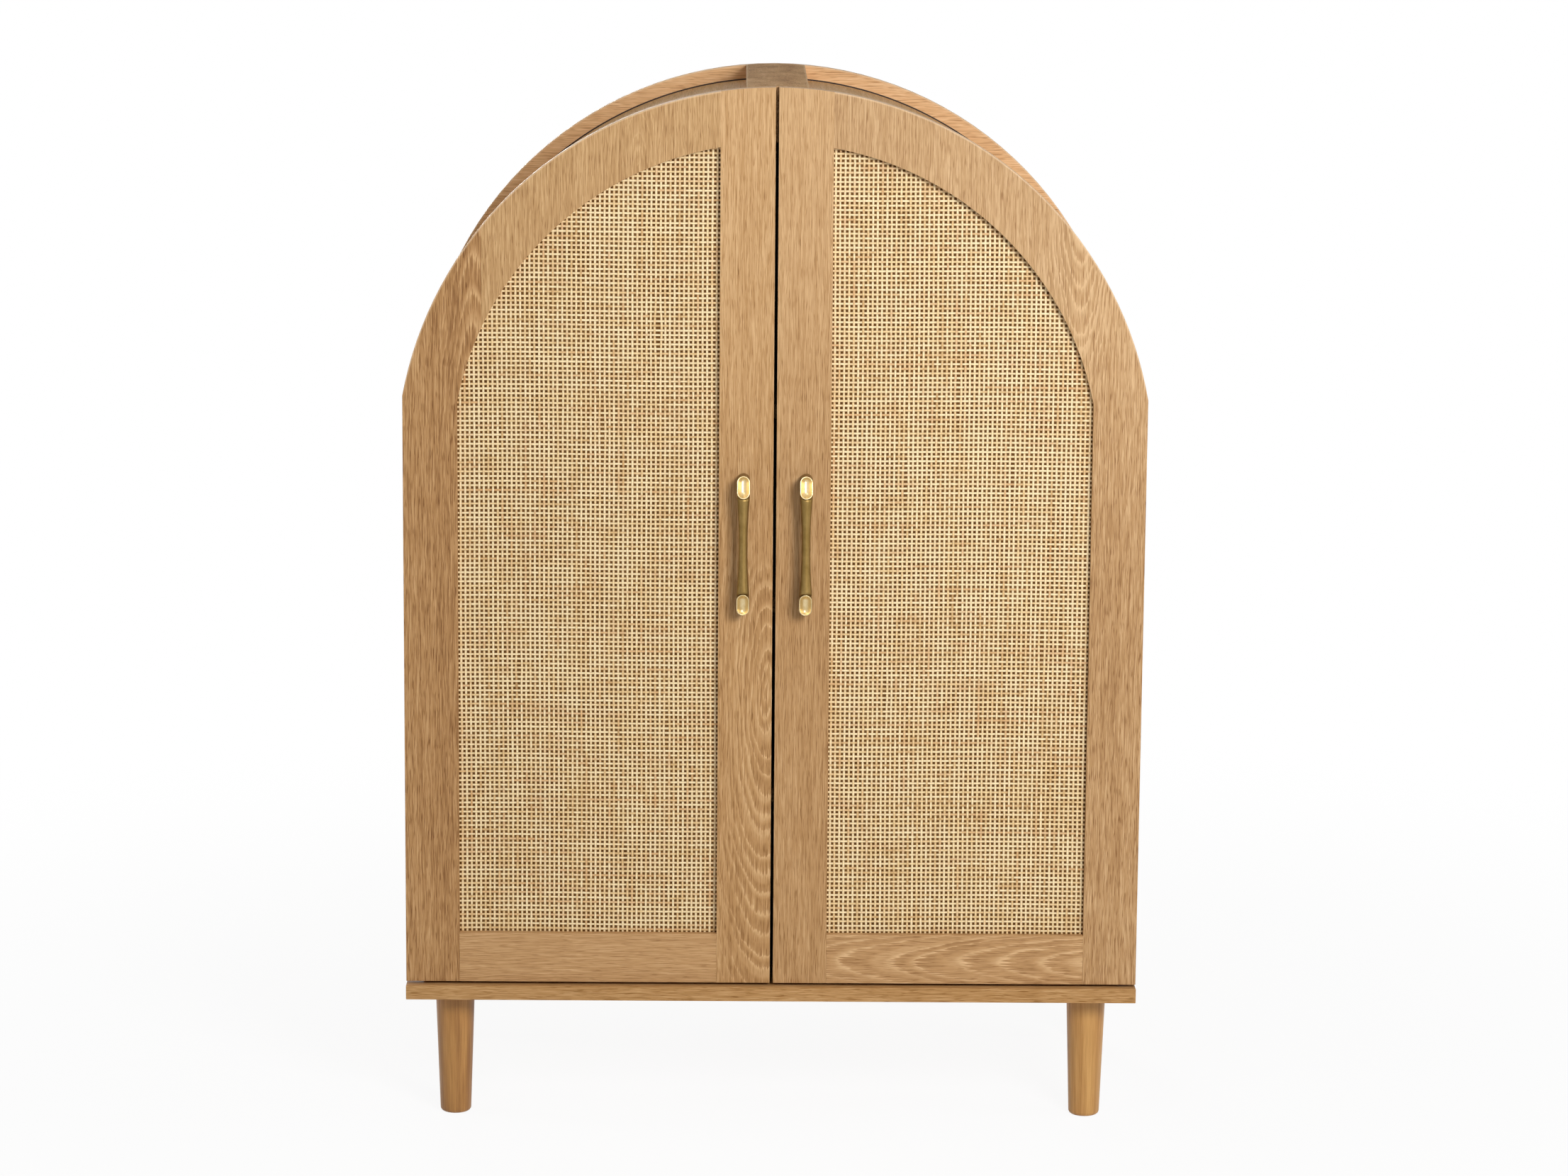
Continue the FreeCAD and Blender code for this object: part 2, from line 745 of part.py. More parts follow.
bead_depth = door_back - bead_front
bead_in = opening(as_size(0))
bead_out = opening(dim.cane_rebate - dim.cane_play)
bead_crown = (bead_out[3][0], bead_in[3][1])
bead_outlines = {
    "bottom": rectangle(bead_out[0], (bead_out[1][0], bead_in[1][1])),
    "inner": rectangle((bead_out[0][0], bead_in[0][1]), bead_in[3]),
    "outer": [bead_in[1], (bead_out[1][0], bead_in[1][1]), bead_out[2][:2], bead_in[2][:2]],
    "arch": [bead_in[2][:2], bead_out[2], bead_out[3], bead_crown, (*bead_in[3], -opening_radius)],
}
beads = []
for name, outline in bead_outlines.items():
    bead = Piece(f"right_bead_{name}", (0, bead_front, 0))
    bead.pad("XZ", outline, bead_front, bead_depth)
    beads.append(bead.body)
mirror("left_cane_beads", gather("right_cane_beads", beads))

# Butt hinges: knuckles of the two leaves alternate on one pin
knuckle_height = dim.hinge_height / KNUCKLES_PER_HINGE
knuckle_length = knuckle_height - dim.knuckle_gap
leaf_end = hinge_x - dim.knuckle_diameter / 2 - dim.knuckle_gap


def hinge_leaf(label, level, head_level, along, knuckles):
    """Leaf of one hinge about its own middle, with the knuckles of the given numbers."""
    leaf = Piece(label)
    half = dim.hinge_height / 2
    leaf.pad("XZ", rectangle((leaf_edge, -half), (leaf_end, half)), level, leaf_thickness)
    for number in knuckles:
        low = knuckle_height * number - half + dim.knuckle_gap / 2
        start = (hinge_x, hinge_y, low)
        leaf.prism("Additive", start, "+Z", BARREL_SIDES, dim.knuckle_diameter, knuckle_length)
        leaf.pad("XZ", rectangle((leaf_end, low), (hinge_x, low + knuckle_length)), level, leaf_thickness)
    bore = dim.hinge_pin_diameter + 2 * dim.pin_clearance
    leaf.prism("Subtractive", (hinge_x, hinge_y, -half), "+Z", PIN_SIDES, bore, dim.hinge_height)
    for side in (-1, 1):
        spot = (leaf_screw_x, head_level, dim.leaf_screw_spacing * side / 2)
        leaf.drill(spot, along, dim.leaf_screw_diameter, leaf_thickness)
        leaf.drill(spot, along, dim.leaf_screw_head, dim.leaf_screw_head_height)
    return leaf


hinge_places = [((0, 0, z), "+Z") for z in hinge_heights]
door_leaf_face = door_back + leaf_thickness
side_leaf_face = shell_front - leaf_thickness
door_leaf = hinge_leaf("right_hinge_door_leaf", door_back, door_leaf_face, "-Y", (1,))
side_leaf = hinge_leaf("right_hinge_side_leaf", side_leaf_face, side_leaf_face, "+Y", (0, 2))
mirror("left_hinge_door_leaves", group("right_hinge_door_leaves", door_leaf, hinge_places))
mirror("left_hinge_side_leaves", group("right_hinge_side_leaves", side_leaf, hinge_places))

hinge_pin = Piece("right_hinge_pin")
pin_head = dim.knuckle_diameter - 2 * dim.knuckle_gap
pin_reach = dim.hinge_height + dim.hinge_pin_head
hinge_pin.prism("Additive", ORIGIN, "+Z", PIN_SIDES, dim.hinge_pin_diameter, pin_reach)
hinge_pin.prism("Additive", (0, 0, dim.hinge_height), "+Z", BARREL_SIDES, pin_head, dim.hinge_pin_head)
pin_places = [((hinge_x, hinge_y, z - dim.hinge_height / 2), "+Z") for z in hinge_heights]
mirror("left_hinge_pins", group("right_hinge_pins", hinge_pin, pin_places))


def leaf_screw(label):
    head_sizes = (dim.leaf_screw_head, dim.leaf_screw_head_height)
    return peg(label, dim.leaf_screw_diameter, dim.leaf_screw_length, *head_sizes)


leaf_screw_heights = [
    z + dim.leaf_screw_spacing * side / 2 for z in hinge_heights for side in (-1, 1)
]
side_screw_places = [((leaf_screw_x, side_leaf_face, z), "+Y") for z in leaf_screw_heights]
side_screws = group("right_hinge_side_screws", leaf_screw("right_hinge_side_screw"), side_screw_places)
mirror("left_hinge_side_screws", side_screws)
door_screw_places = [((leaf_screw_x, door_leaf_face, z), "-Y") for z in leaf_screw_heights]
door_screw_places.append(((catch_x, door_leaf_face, ridge_middle_z), "-Y"))
door_screws = group("right_door_screws", leaf_screw("right_door_screw"), door_screw_places)
mirror("left_door_screws", door_screws)

# Strike plate behind each door's inner stile
strike = Piece("right_strike_plate", (catch_x, door_back, ridge_middle_z))
strike_low = (catch_x - dim.strike_width / 2, ridge_middle_z - dim.strike_height / 2)
strike_high = (catch_x + dim.strike_width / 2, ridge_middle_z + dim.strike_height / 2)
strike.pad("XZ", rectangle(strike_low, strike_high), door_back, leaf_thickness)
strike_face = (catch_x, door_leaf_face, ridge_middle_z)
strike.drill(strike_face, "-Y", dim.leaf_screw_diameter, leaf_thickness)
strike.drill(strike_face, "-Y", dim.leaf_screw_head, dim.leaf_screw_head_height)
mirror("left_strike_plate", keep(strike.body))

# Handle: a round bar with hollowed flanks between two posts
end_radius = dim.handle_end_width / 2
bar_radius = end_radius - dim.handle_shoulder
bar_half = dim.handle_spacing / 2
bar_bottom = handle_z - bar_half
bar_top = handle_z + bar_half
slice_face = door_front - dim.handle_projection
handle_y = slice_face + dim.handle_shoulder + bar_radius
handle = Piece("right_handle", (handle_x, handle_y, handle_z))
bar_start = (handle_x, handle_y, bar_bottom)
handle.primitive("AdditiveCylinder", bar_start, "+Z", Radius=bar_radius, Height=dim.handle_spacing)
flank_radius = arc_radius(bar_half, bar_radius - dim.handle_waist / 2)
for side in (-1, 1):
    flank_x = handle_x + side * bar_radius
    flank = [(flank_x, bar_bottom, -side * flank_radius), (flank_x, bar_top)]
    handle.cut("XZ", flank, slice_face, 2 * bar_radius)

# Posts with stadium outlines, as deep as the handle stands out
post_straight = (dim.handle_post_height - dim.handle_end_width) / 2
for z in post_heights:
    handle.pad(
        "XZ",
        [
            (handle_x + end_radius, z - post_straight),
            (handle_x + end_radius, z + post_straight, end_radius),
            (handle_x, z + post_straight + end_radius, end_radius),
            (handle_x - end_radius, z + post_straight),
            (handle_x - end_radius, z - post_straight, end_radius),
            (handle_x, z - post_straight - end_radius, end_radius),
        ],
        slice_face,
        dim.handle_projection,
    )

# The post fronts are sliced slantwise towards the handle's ends and scooped out
slice_clear = slice_face - dim.handle_projection
slice_start = (dim.handle_spacing - dim.handle_post_height) / 2
slice_reach = dim.handle_post_height + dim.handle_end_width
slice_lean = slice_reach * sine(dim.facet_tilt) / cosine(dim.facet_tilt)
dish_half_width = end_radius - dim.handle_lip
dish_radius = arc_radius(dish_half_width, dim.scoop_depth)
dish_offset = dish_radius - dim.scoop_depth
facet_half = dim.handle_post_height / (2 * cosine(dim.facet_tilt))
dish_straight = facet_half - dim.handle_lip - dish_half_width
facet_y = slice_face + facet_half * sine(dim.facet_tilt)
for side in (-1, 1):
    low = handle_z + slice_start * side
    high = low + slice_reach * side
    corners = [(slice_clear, low), (slice_face, low), (slice_face + slice_lean, high), (slice_clear, high)]
    handle.cut("YZ", corners, handle_x - end_radius, dim.handle_end_width)
    dish_y = facet_y - dish_offset * cosine(dim.facet_tilt)
    dish_z = handle_z + (dim.handle_spacing / 2 + dish_offset * sine(dim.facet_tilt)) * side
    step_y = dish_straight * sine(dim.facet_tilt)
    step_z = dish_straight * cosine(dim.facet_tilt) * side
    lean = FreeCAD.Rotation(FreeCAD.Vector(-side, 0, 0), dim.facet_tilt.number)
    dish_low = (handle_x, dish_y - step_y, dish_z - step_z)
    dish_high = (handle_x, dish_y + step_y, dish_z + step_z)
    trough_start = dish_low if side > 0 else dish_high
    trough = handle.primitive(
        "SubtractiveCylinder", trough_start, lean, Radius=dish_radius, Height=2 * dish_straight
    )
    trough.setExpression(".Placement.Rotation.Angle", dim.facet_tilt.text)
    for point in (dish_low, dish_high):
        handle.primitive("SubtractiveSphere", point, "+Z", Radius=dish_radius)
for z in post_heights:
    bite = dim.handle_screw_bite + dim.bore_clearance
    handle.drill((handle_x, door_front - bite, z), "+Y", dim.handle_screw_diameter, bite)
mirror("left_handle", keep(handle.body))

handle_screw = peg(
    "right_handle_screw",
    dim.handle_screw_diameter,
    dim.handle_screw_head_height + dim.door_thickness + dim.handle_screw_bite,
    dim.handle_screw_head,
    dim.handle_screw_head_height,
)
screw_head_y = door_back + dim.handle_screw_head_height
handle_screw_places = [((handle_x, screw_head_y, z), "-Y") for z in post_heights]
mirror("left_handle_screws", group("right_handle_screws", handle_screw, handle_screw_places))

# Every object has to be sound before anything is written
document.recompute()
faults = [item.Label for item in document.Objects if {"Invalid", "Error"} & set(item.State)]
faults += [item.Label for item in sub_parts if item.Shape.isNull() or not item.Shape.isValid()]
if faults:
    raise RuntimeError("failed objects: " + ", ".join(faults))

os.makedirs("parts", exist_ok=True)
for item in sub_parts:
    item.Shape.exportStep(f"parts/{item.Label}.step")
print(f"{len(sub_parts)} sub-parts written")
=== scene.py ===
"""Looks of the arched cane-front cabinet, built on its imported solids.

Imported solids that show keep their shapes, with eased edges and materials. The cane, the handles, the legs,
the screws and the shelf pins are made here in finer form, in the places of the solids that they stand for.
All lengths are in metres.
"""

import math

import bmesh
import bpy
import numpy as np
from mathutils import Matrix, Vector


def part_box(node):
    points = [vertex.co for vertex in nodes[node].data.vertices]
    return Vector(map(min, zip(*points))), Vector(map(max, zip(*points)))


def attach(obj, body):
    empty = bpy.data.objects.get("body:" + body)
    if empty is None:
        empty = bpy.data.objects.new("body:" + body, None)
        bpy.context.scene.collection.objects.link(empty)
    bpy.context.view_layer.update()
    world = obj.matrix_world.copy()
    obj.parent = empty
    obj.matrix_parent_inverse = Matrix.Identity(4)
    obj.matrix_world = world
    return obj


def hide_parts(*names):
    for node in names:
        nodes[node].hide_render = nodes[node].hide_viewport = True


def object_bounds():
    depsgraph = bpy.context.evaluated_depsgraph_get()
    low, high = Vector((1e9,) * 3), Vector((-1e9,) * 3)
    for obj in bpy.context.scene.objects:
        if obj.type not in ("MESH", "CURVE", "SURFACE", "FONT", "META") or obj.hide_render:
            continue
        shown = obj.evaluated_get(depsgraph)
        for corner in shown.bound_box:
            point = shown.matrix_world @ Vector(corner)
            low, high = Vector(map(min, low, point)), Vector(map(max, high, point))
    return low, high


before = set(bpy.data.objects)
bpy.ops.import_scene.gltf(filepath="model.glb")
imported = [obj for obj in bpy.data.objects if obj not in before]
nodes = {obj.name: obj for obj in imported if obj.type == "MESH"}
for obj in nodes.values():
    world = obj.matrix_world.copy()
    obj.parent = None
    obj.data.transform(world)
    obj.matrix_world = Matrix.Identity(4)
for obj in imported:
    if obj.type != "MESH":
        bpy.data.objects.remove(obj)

cad_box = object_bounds()
scene = bpy.context.scene
scene.view_settings.view_transform = "Standard"

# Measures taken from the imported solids. The doors share one arc, through the top and the highest corner
# of each outer stile.
TOP = cad_box[1].z
JOINT_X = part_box("right_outer_stile")[0].x
JOINT_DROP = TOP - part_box("right_outer_stile")[1].z
ARCH_RADIUS = (JOINT_X ** 2 + JOINT_DROP ** 2) / (2 * JOINT_DROP)
ARCH_CENTRE = TOP - ARCH_RADIUS
ROOF_RADIUS = math.hypot(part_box("right_roof_panel")[0].x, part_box("right_roof_panel")[1].z - ARCH_CENTRE)
RIDGE_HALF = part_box("ridge_beam")[1].x
BACK_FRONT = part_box("back_panel")[0].y
CANE_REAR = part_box("left_cane_panel")[1].y


# ---- Materials

NOISE_MIDDLE = 0.5
NOISE_LOW, NOISE_HIGH = 0.3, 0.7  # most values of a noise lie between these


def rgb(red, green, blue):
    """A colour written in 0 to 255 screen values, as linear light."""
    out = []
    for value in (red, green, blue):
        c = value / 255
        out.append(c / 12.92 if c <= 0.04045 else ((c + 0.055) / 1.055) ** 2.4)
    return (*out, 1.0)


def grey(level):
    """A neutral colour, in linear light."""
    return (level, level, level, 1.0)


class Graph:
    """A material under construction: a principled shader and short calls that add nodes."""

    def __init__(self, name):
        self.material = bpy.data.materials.new(name)
        self.material.use_nodes = True
        self.tree = self.material.node_tree
        self.tree.nodes.clear()
        self.output = self.node("ShaderNodeOutputMaterial")
        self.shader = self.node("ShaderNodeBsdfPrincipled")
        self.tree.links.new(self.shader.outputs["BSDF"], self.output.inputs["Surface"])

    def node(self, kind, **settings):
        made = self.tree.nodes.new(kind)
        for key, value in settings.items():
            setattr(made, key, value)
        return made

    def put(self, socket, value):
        """Links an output to a socket, or sets a plain value on it."""
        if isinstance(value, bpy.types.NodeSocket):
            self.tree.links.new(value, socket)
        else:
            socket.default_value = value

    def position(self):
        """The place on the cabinet at rest, which every object shares."""
        return self.node("ShaderNodeTexCoord").outputs["Object"]

    def math(self, operation, a, b=0.0):
        made = self.node("ShaderNodeMath", operation=operation)
        self.put(made.inputs[0], a)
        self.put(made.inputs[1], b)
        return made.outputs[0]

    def add(self, a, b):
        return self.math("ADD", a, b)

    def less(self, a, b):
        return self.math("SUBTRACT", a, b)

    def times(self, a, b):
        return self.math("MULTIPLY", a, b)

    def total(self, first, *others):
        """The sum of pairs of a value and its weight."""
        out = self.times(*first)
        for pair in others:
            out = self.add(out, self.times(*pair))
        return out

    def hypot(self, a, b):
        return self.math("SQRT", self.total((a, a), (b, b)))

    def vector(self, operation, a, b):
        made = self.node("ShaderNodeVectorMath", operation=operation)
        self.put(made.inputs[0], a)
        self.put(made.inputs[1], b)
        return made.outputs[0]

    def split(self, vector):
        made = self.node("ShaderNodeSeparateXYZ")
        self.put(made.inputs[0], vector)
        return made.outputs

    def join(self, x, y, z):
        made = self.node("ShaderNodeCombineXYZ")
        for socket, value in zip(made.inputs, (x, y, z)):
            self.put(socket, value)
        return made.outputs[0]

    def noise(self, vector, frequency, detail=2.0, roughness=0.5):
        """Noise with its own frequency, in cycles a metre, along each axis."""
        made = self.node("ShaderNodeTexNoise")
        self.put(made.inputs["Vector"], self.vector("MULTIPLY", vector, frequency))
        made.inputs["Scale"].default_value = 1.0
        made.inputs["Detail"].default_value = detail
        made.inputs["Roughness"].default_value = roughness
        return made.outputs["Fac"]

    def swing(self, noise):
        """A noise moved to lie about zero."""
        return self.less(noise, NOISE_MIDDLE)

    def span(self, value, low, high, to_low=0.0, to_high=1.0):
        """A smooth step: to_low up to low, and to_high from high on."""
        made = self.node("ShaderNodeMapRange", interpolation_type="SMOOTHSTEP")
        for socket, number in zip(made.inputs, (value, low, high, to_low, to_high)):
            self.put(socket, number)
        return made.outputs["Result"]

    def rough(self, noise, at_low, at_high):
        """Roughness that follows a noise."""
        return self.span(noise, NOISE_LOW, NOISE_HIGH, at_low, at_high)

    def ramp(self, value, *stops):
        """Colour by value, between stops of a place and a colour."""
        made = self.node("ShaderNodeValToRGB")
        elements = made.color_ramp.elements
        while len(elements) < len(stops):
            elements.new(0.5)
        for element, (place, colour) in zip(elements, stops):
            element.position = place
            element.color = colour
        self.put(made.inputs[0], value)
        return made.outputs["Color"]

    def blend(self, factor, a, b):
        made = self.node("ShaderNodeMix", data_type="RGBA")
        self.put(made.inputs["Factor"], factor)
        self.put(made.inputs["A"], a)
        self.put(made.inputs["B"], b)
        return made.outputs["Result"]

    def bump(self, height, strength, distance):
        made = self.node("ShaderNodeBump")
        made.inputs["Strength"].default_value = strength
        made.inputs["Distance"].default_value = distance
        self.put(made.inputs["Height"], height)
        self.put(self.shader.inputs["Normal"], made.outputs[0])

    def finish(self, gloss=0.5, **inputs):
        """Sets the specular level and the shader's other inputs, named in lower case."""
        self.shader.inputs["Specular IOR Level"].default_value = gloss
        for key, value in inputs.items():
            self.put(self.shader.inputs[key.replace("_", " ").title()], value)
        return self.material


# Oak's grain, layer by layer: frequencies across, through and along it, then detail and roughness
RIPPLE = ((50, 50, 16), 3)
BROAD = ((26, 26, 0.9), 3)
STREAK = ((260, 260, 5.0), 5, 0.66)
FIBRE = ((980, 980, 30), 2, 0.60)
PORES = ((1150, 1150, 60), 1, 0.5)
SWAY = ((16, 16, 8), 3)
PORE_EDGES = (0.55, 0.66)
PORE_WEIGHT, BROAD_WEIGHT, STREAK_WEIGHT, FIBRE_WEIGHT = -0.27, 0.22, 0.46, 1.10
RIPPLE_REACH = 0.0030
OAK_STOPS = (0.08, 0.47, 0.90)
# Painted light: from this height up the wood grows paler, as if lit from above
PAINTED_TOP_LIGHT_FROM = 0.55

# Oak's figure: how far its loops wander, how uneven and frayed they are, and where they fade
SWAY_REACH, RIPPLE_WANDER = 0.012, 0.0060
UNEVEN, FRAYED = 1.6, 0.9
LOOP_TONES = ((0.0, 0.44), (0.10, 0.92), (0.26, 0.62), (0.60, 0.36), (1.0, 0.44))
FADE_OUTSIDE, FADE_INSIDE = 0.05, 0.01
HEART_NEAR, HEART_FAR, FAR_SHARE = 0.022, 0.044, 0.3
PATCHES = (0.25, 0.55, 0.55, 1.15)  # between these values of the broad grain, how strongly they show

# Lines along the arch: the height over which they fade in, a painted highlight along the arch's edge, and a
# painted shadow line in the corner where the roof meets the back
ARCH_FADE = (0.80, 0.84)
RIM_INNER, RIM_OUTER, RIM_HIGHLIGHT_STRENGTH, RIM_HIGHLIGHT_COLOUR = 0.0022, 0.0006, 0.45, rgb(236, 208, 172)
SEAM_SHADOW_SHIFT, SEAM_SHADOW_HALF, SEAM_SHADOW_DEPTH, SEAM_SHADOW_COLOUR = 0.0004, 0.0011, 0.0004, rgb(36, 22, 12)


def oak_figure(g, figure, across, along, place, ripple, fibre, broad):
    """The tone that a board's figure adds to its grain."""
    heart, centre, narrow, spacing, strength, low, high = figure
    wander = g.total((g.swing(g.noise(place, *SWAY)), SWAY_REACH), (ripple, RIPPLE_WANDER))
    offset = g.add(g.less(across, heart), wander)
    away = g.hypot(g.times(offset, narrow), g.less(along, centre))
    height = g.math("DIVIDE", away, spacing)
    uneven = g.times(g.noise(g.join(height, 0.0, 0.0), (0.8, 1, 1), 2), UNEVEN)
    ring = g.math("FRACT", g.add(g.add(height, uneven), g.times(g.swing(fibre), FRAYED)))
    wave = g.ramp(ring, *((stop, grey(level)) for stop, level in LOOP_TONES))
    begun = g.span(along, low - FADE_OUTSIDE, low + FADE_INSIDE)
    ended = g.span(along, high - FADE_INSIDE, high + FADE_OUTSIDE, 1.0, 0.0)
    beside = g.span(g.math("ABSOLUTE", offset), HEART_NEAR, HEART_FAR, strength, FAR_SHARE * strength)
    patchy = g.span(broad, *PATCHES)
    shown = g.times(g.times(g.times(begun, ended), beside), patchy)
    return g.times(g.swing(wave), shown)


def arch_lines(g, colour, x, y, z, rim_highlight, seam_shadow):
    """Paints a pale highlight along the arch's edge, a dark shadow line in the corner between back and roof,
    or both.
    """
    lift = g.math("MAXIMUM", g.less(z, ARCH_CENTRE), 0.0)
    radius = g.hypot(x, lift)
    arched = g.span(z, *ARCH_FADE)
    # Painted highlight: a pale line along the arch's eased edge.
    if rim_highlight:
        edge = g.times(g.span(radius, ARCH_RADIUS - RIM_INNER, ARCH_RADIUS - RIM_OUTER), arched)
        colour = g.blend(g.times(edge, RIM_HIGHLIGHT_STRENGTH), colour, RIM_HIGHLIGHT_COLOUR)
    # Painted shadow: a dark line in the corner where the roof meets the back panel.
    if seam_shadow:
        away = g.math("ABSOLUTE", g.less(radius, ROOF_RADIUS + SEAM_SHADOW_SHIFT))
        line = g.math("LESS_THAN", away, SEAM_SHADOW_HALF)
        line = g.times(line, g.math("LESS_THAN", y, BACK_FRONT + SEAM_SHADOW_DEPTH))
        colour = g.blend(g.times(line, arched), colour, SEAM_SHADOW_COLOUR)
    return colour


def oak(name, grain, shift, tones, figure=None, rim_highlight=False, seam_shadow=False,
        contrast=1.0, painted_top_light=0.0, gloss=0.32):
    """Oak veneer whose fibres follow the named axis, in dark, middle and pale tones.

    Shift picks the part of the noise that a board shows. Figure gives nested long loops of pale lines: their
    heart line across the grain, their centre along it, how narrow they are, their spacing and strength, and
    the stretch along the grain where they show. The two arch options paint a pale highlight along the arch's
    edge and a dark shadow line in the corner where the back meets the roof. Contrast scales the grain, the
    top light option lightens the wood towards the top as painted light from above, and gloss is its specular
    level.
    """
    g = Graph(name)
    x, y, z = g.split(g.position())
    across, through, along = {"x": (z, y, x), "y": (x, z, y), "z": (x, y, z)}[grain]
    place = g.vector("ADD", g.join(across, through, along), shift)
    ripple = g.swing(g.noise(place, *RIPPLE))
    bent = g.vector("ADD", place, g.join(g.times(ripple, RIPPLE_REACH), 0.0, 0.0))
    broad = g.noise(place, *BROAD)
    streak = g.noise(bent, *STREAK)
    fibre = g.noise(bent, *FIBRE)
    pores = g.span(g.noise(bent, *PORES), *PORE_EDGES)
    tone = g.total((pores, PORE_WEIGHT * contrast), (g.swing(broad), BROAD_WEIGHT * contrast),
                   (g.swing(streak), STREAK_WEIGHT * contrast), (g.swing(fibre), FIBRE_WEIGHT * contrast))
    if figure:
        tone = g.add(tone, oak_figure(g, figure, across, along, place, ripple, fibre, broad))
    # Painted light: paler towards the top, as if lit from above
    if painted_top_light:
        tone = g.add(tone, g.span(z, PAINTED_TOP_LIGHT_FROM, TOP, 0.0, painted_top_light))
    colour = g.ramp(g.add(tone, NOISE_MIDDLE), *zip(OAK_STOPS, tones))
    if rim_highlight or seam_shadow:
        colour = arch_lines(g, colour, x, y, z, rim_highlight, seam_shadow)
    g.bump(g.total((streak, 0.4), (fibre, 0.6)), strength=0.25, distance=0.0006)
    return g.finish(gloss=gloss, base_color=colour, roughness=g.rough(streak, 0.62, 0.48))


# Painted light and shade: the legs grow darker to the left and lighter to the right, as if lit from the
# right.
LEG_PAINTED_LIGHT = (-0.3, 0.3, -0.09, 0.08)  # from one place in x to another, the tone added at each


def turned_oak(name, tones):
    """Solid wood of the turned legs, with long soft grain and a satin finish, and painted light that makes
    them a little darker on the left and lighter on the right.
    """
    g = Graph(name)
    place = g.position()
    broad = g.noise(place, (60, 60, 3), 3)
    streak = g.noise(place, (420, 420, 9), 4, 0.6)
    tone = g.total((broad, 0.55), (streak, 0.45))
    # Painted light: darker on the left, lighter on the right.
    tone = g.add(tone, g.span(g.split(place)[0], *LEG_PAINTED_LIGHT))
    colour = g.ramp(tone, *zip((0.30, 0.5, 0.70), tones))
    g.bump(streak, strength=0.10, distance=0.0005)
    return g.finish(base_color=colour, roughness=g.rough(streak, 0.48, 0.38))


# Where the painted highlight along the ridge's upper arrises lies
ARRIS_OUTER, ARRIS_INNER = 0.0012, 0.0026  # in from the ridge's sides
ARRIS_HIGH, ARRIS_LOW = 0.002, 0.004  # down from its top


def end_grain(name):
    """Sawn wood of the ridge block, speckled with short pores, with a painted highlight along its upper
    arrises.
    """
    g = Graph(name)
    place = g.position()
    cloud = g.noise(place, (45, 22, 45), 4)
    speckle = g.noise(place, (620, 300, 620), 3, 0.7)
    tone = g.total((cloud, 0.4), (speckle, 0.6))
    colour = g.ramp(tone, (0.30, rgb(130, 92, 58)), (0.5, rgb(201, 157, 109)), (0.72, rgb(242, 206, 160)))
    x, _, z = g.split(place)
    # Painted highlight: a pale line along both upper arrises.
    beside = g.span(g.math("ABSOLUTE", x), RIDGE_HALF - ARRIS_INNER, RIDGE_HALF - ARRIS_OUTER)
    arris_highlight = g.times(beside, g.span(z, TOP - ARRIS_LOW, TOP - ARRIS_HIGH))
    colour = g.blend(g.times(arris_highlight, 0.6), colour, rgb(226, 194, 152))
    g.bump(speckle, strength=0.35, distance=0.0008)
    return g.finish(gloss=0.05, base_color=colour, roughness=g.rough(speckle, 0.8, 0.65))


def cane_fibre(name):
    """Peeled cane, with painted shade that darkens each strand towards its edges, and a tone that is painted
    paler where a strand passes over and darker where it passes under. The strand attribute carries a strand's
    tone, its blush, and how far in from its edge a point lies."""
    g = Graph(name)
    strand = g.node("ShaderNodeAttribute", attribute_name="strand").outputs["Color"]
    tone, blush, inward = g.split(strand)
    place = g.position()
    mottle = g.noise(place, (260, 400, 260), 3)
    mottled = g.times(g.swing(mottle), 0.5)
    colour = g.ramp(g.add(tone, mottled), (0.0, rgb(166, 126, 76)), (0.35, rgb(213, 174, 117)),
                    (0.65, rgb(236, 205, 150)), (1.0, rgb(248, 226, 180)))
    colour = g.blend(g.times(blush, 0.7), colour, rgb(208, 154, 98))
    # Painted shade: each strand darkens towards its edges.
    edge = g.span(g.add(inward, mottled), 0.0, 0.55, 0.72, 0.0)
    colour = g.blend(edge, colour, rgb(150, 108, 62))
    g.bump(g.noise(place, (1500, 900, 1500), 2), strength=0.25, distance=0.0003)
    return g.finish(base_color=colour, roughness=g.rough(mottle, 0.55, 0.40))


BACKING = 0.00015  # thickness of the sheet behind the cane
CLOTH_PITCH = 0.0022


def backing_sheet(name):
    """The sheet behind the cane: brown where it shows through the openings, plain cloth on the inside."""
    g = Graph(name)
    place = g.position()
    cloud = g.noise(place, (40, 40, 12), 3)
    fleck = g.noise(place, (900, 900, 300), 2)
    tone = g.total((cloud, 0.5), (fleck, 0.5))
    brown = g.ramp(tone, (0.3, rgb(84, 53, 20)), (0.5, rgb(106, 70, 31)), (0.7, rgb(132, 94, 49)))
    x, y, z = g.split(place)
    warp, weft = (g.math("SINE", g.times(way, 2 * math.pi / CLOTH_PITCH)) for way in (x, z))
    woven = g.times(warp, weft)
    cloth = g.add(g.times(woven, 0.20), g.add(g.times(tone, 0.4), 0.3))
    linen = g.ramp(cloth, (0.2, rgb(150, 118, 80)), (0.5, rgb(196, 166, 126)), (0.8, rgb(222, 197, 160)))
    inside = g.math("GREATER_THAN", y, CANE_REAR - BACKING / 2)
    g.bump(g.add(woven, fleck), strength=0.2, distance=0.0004)
    return g.finish(gloss=0.1, base_color=g.blend(inside, brown, linen), roughness=g.rough(fleck, 0.8, 0.65))


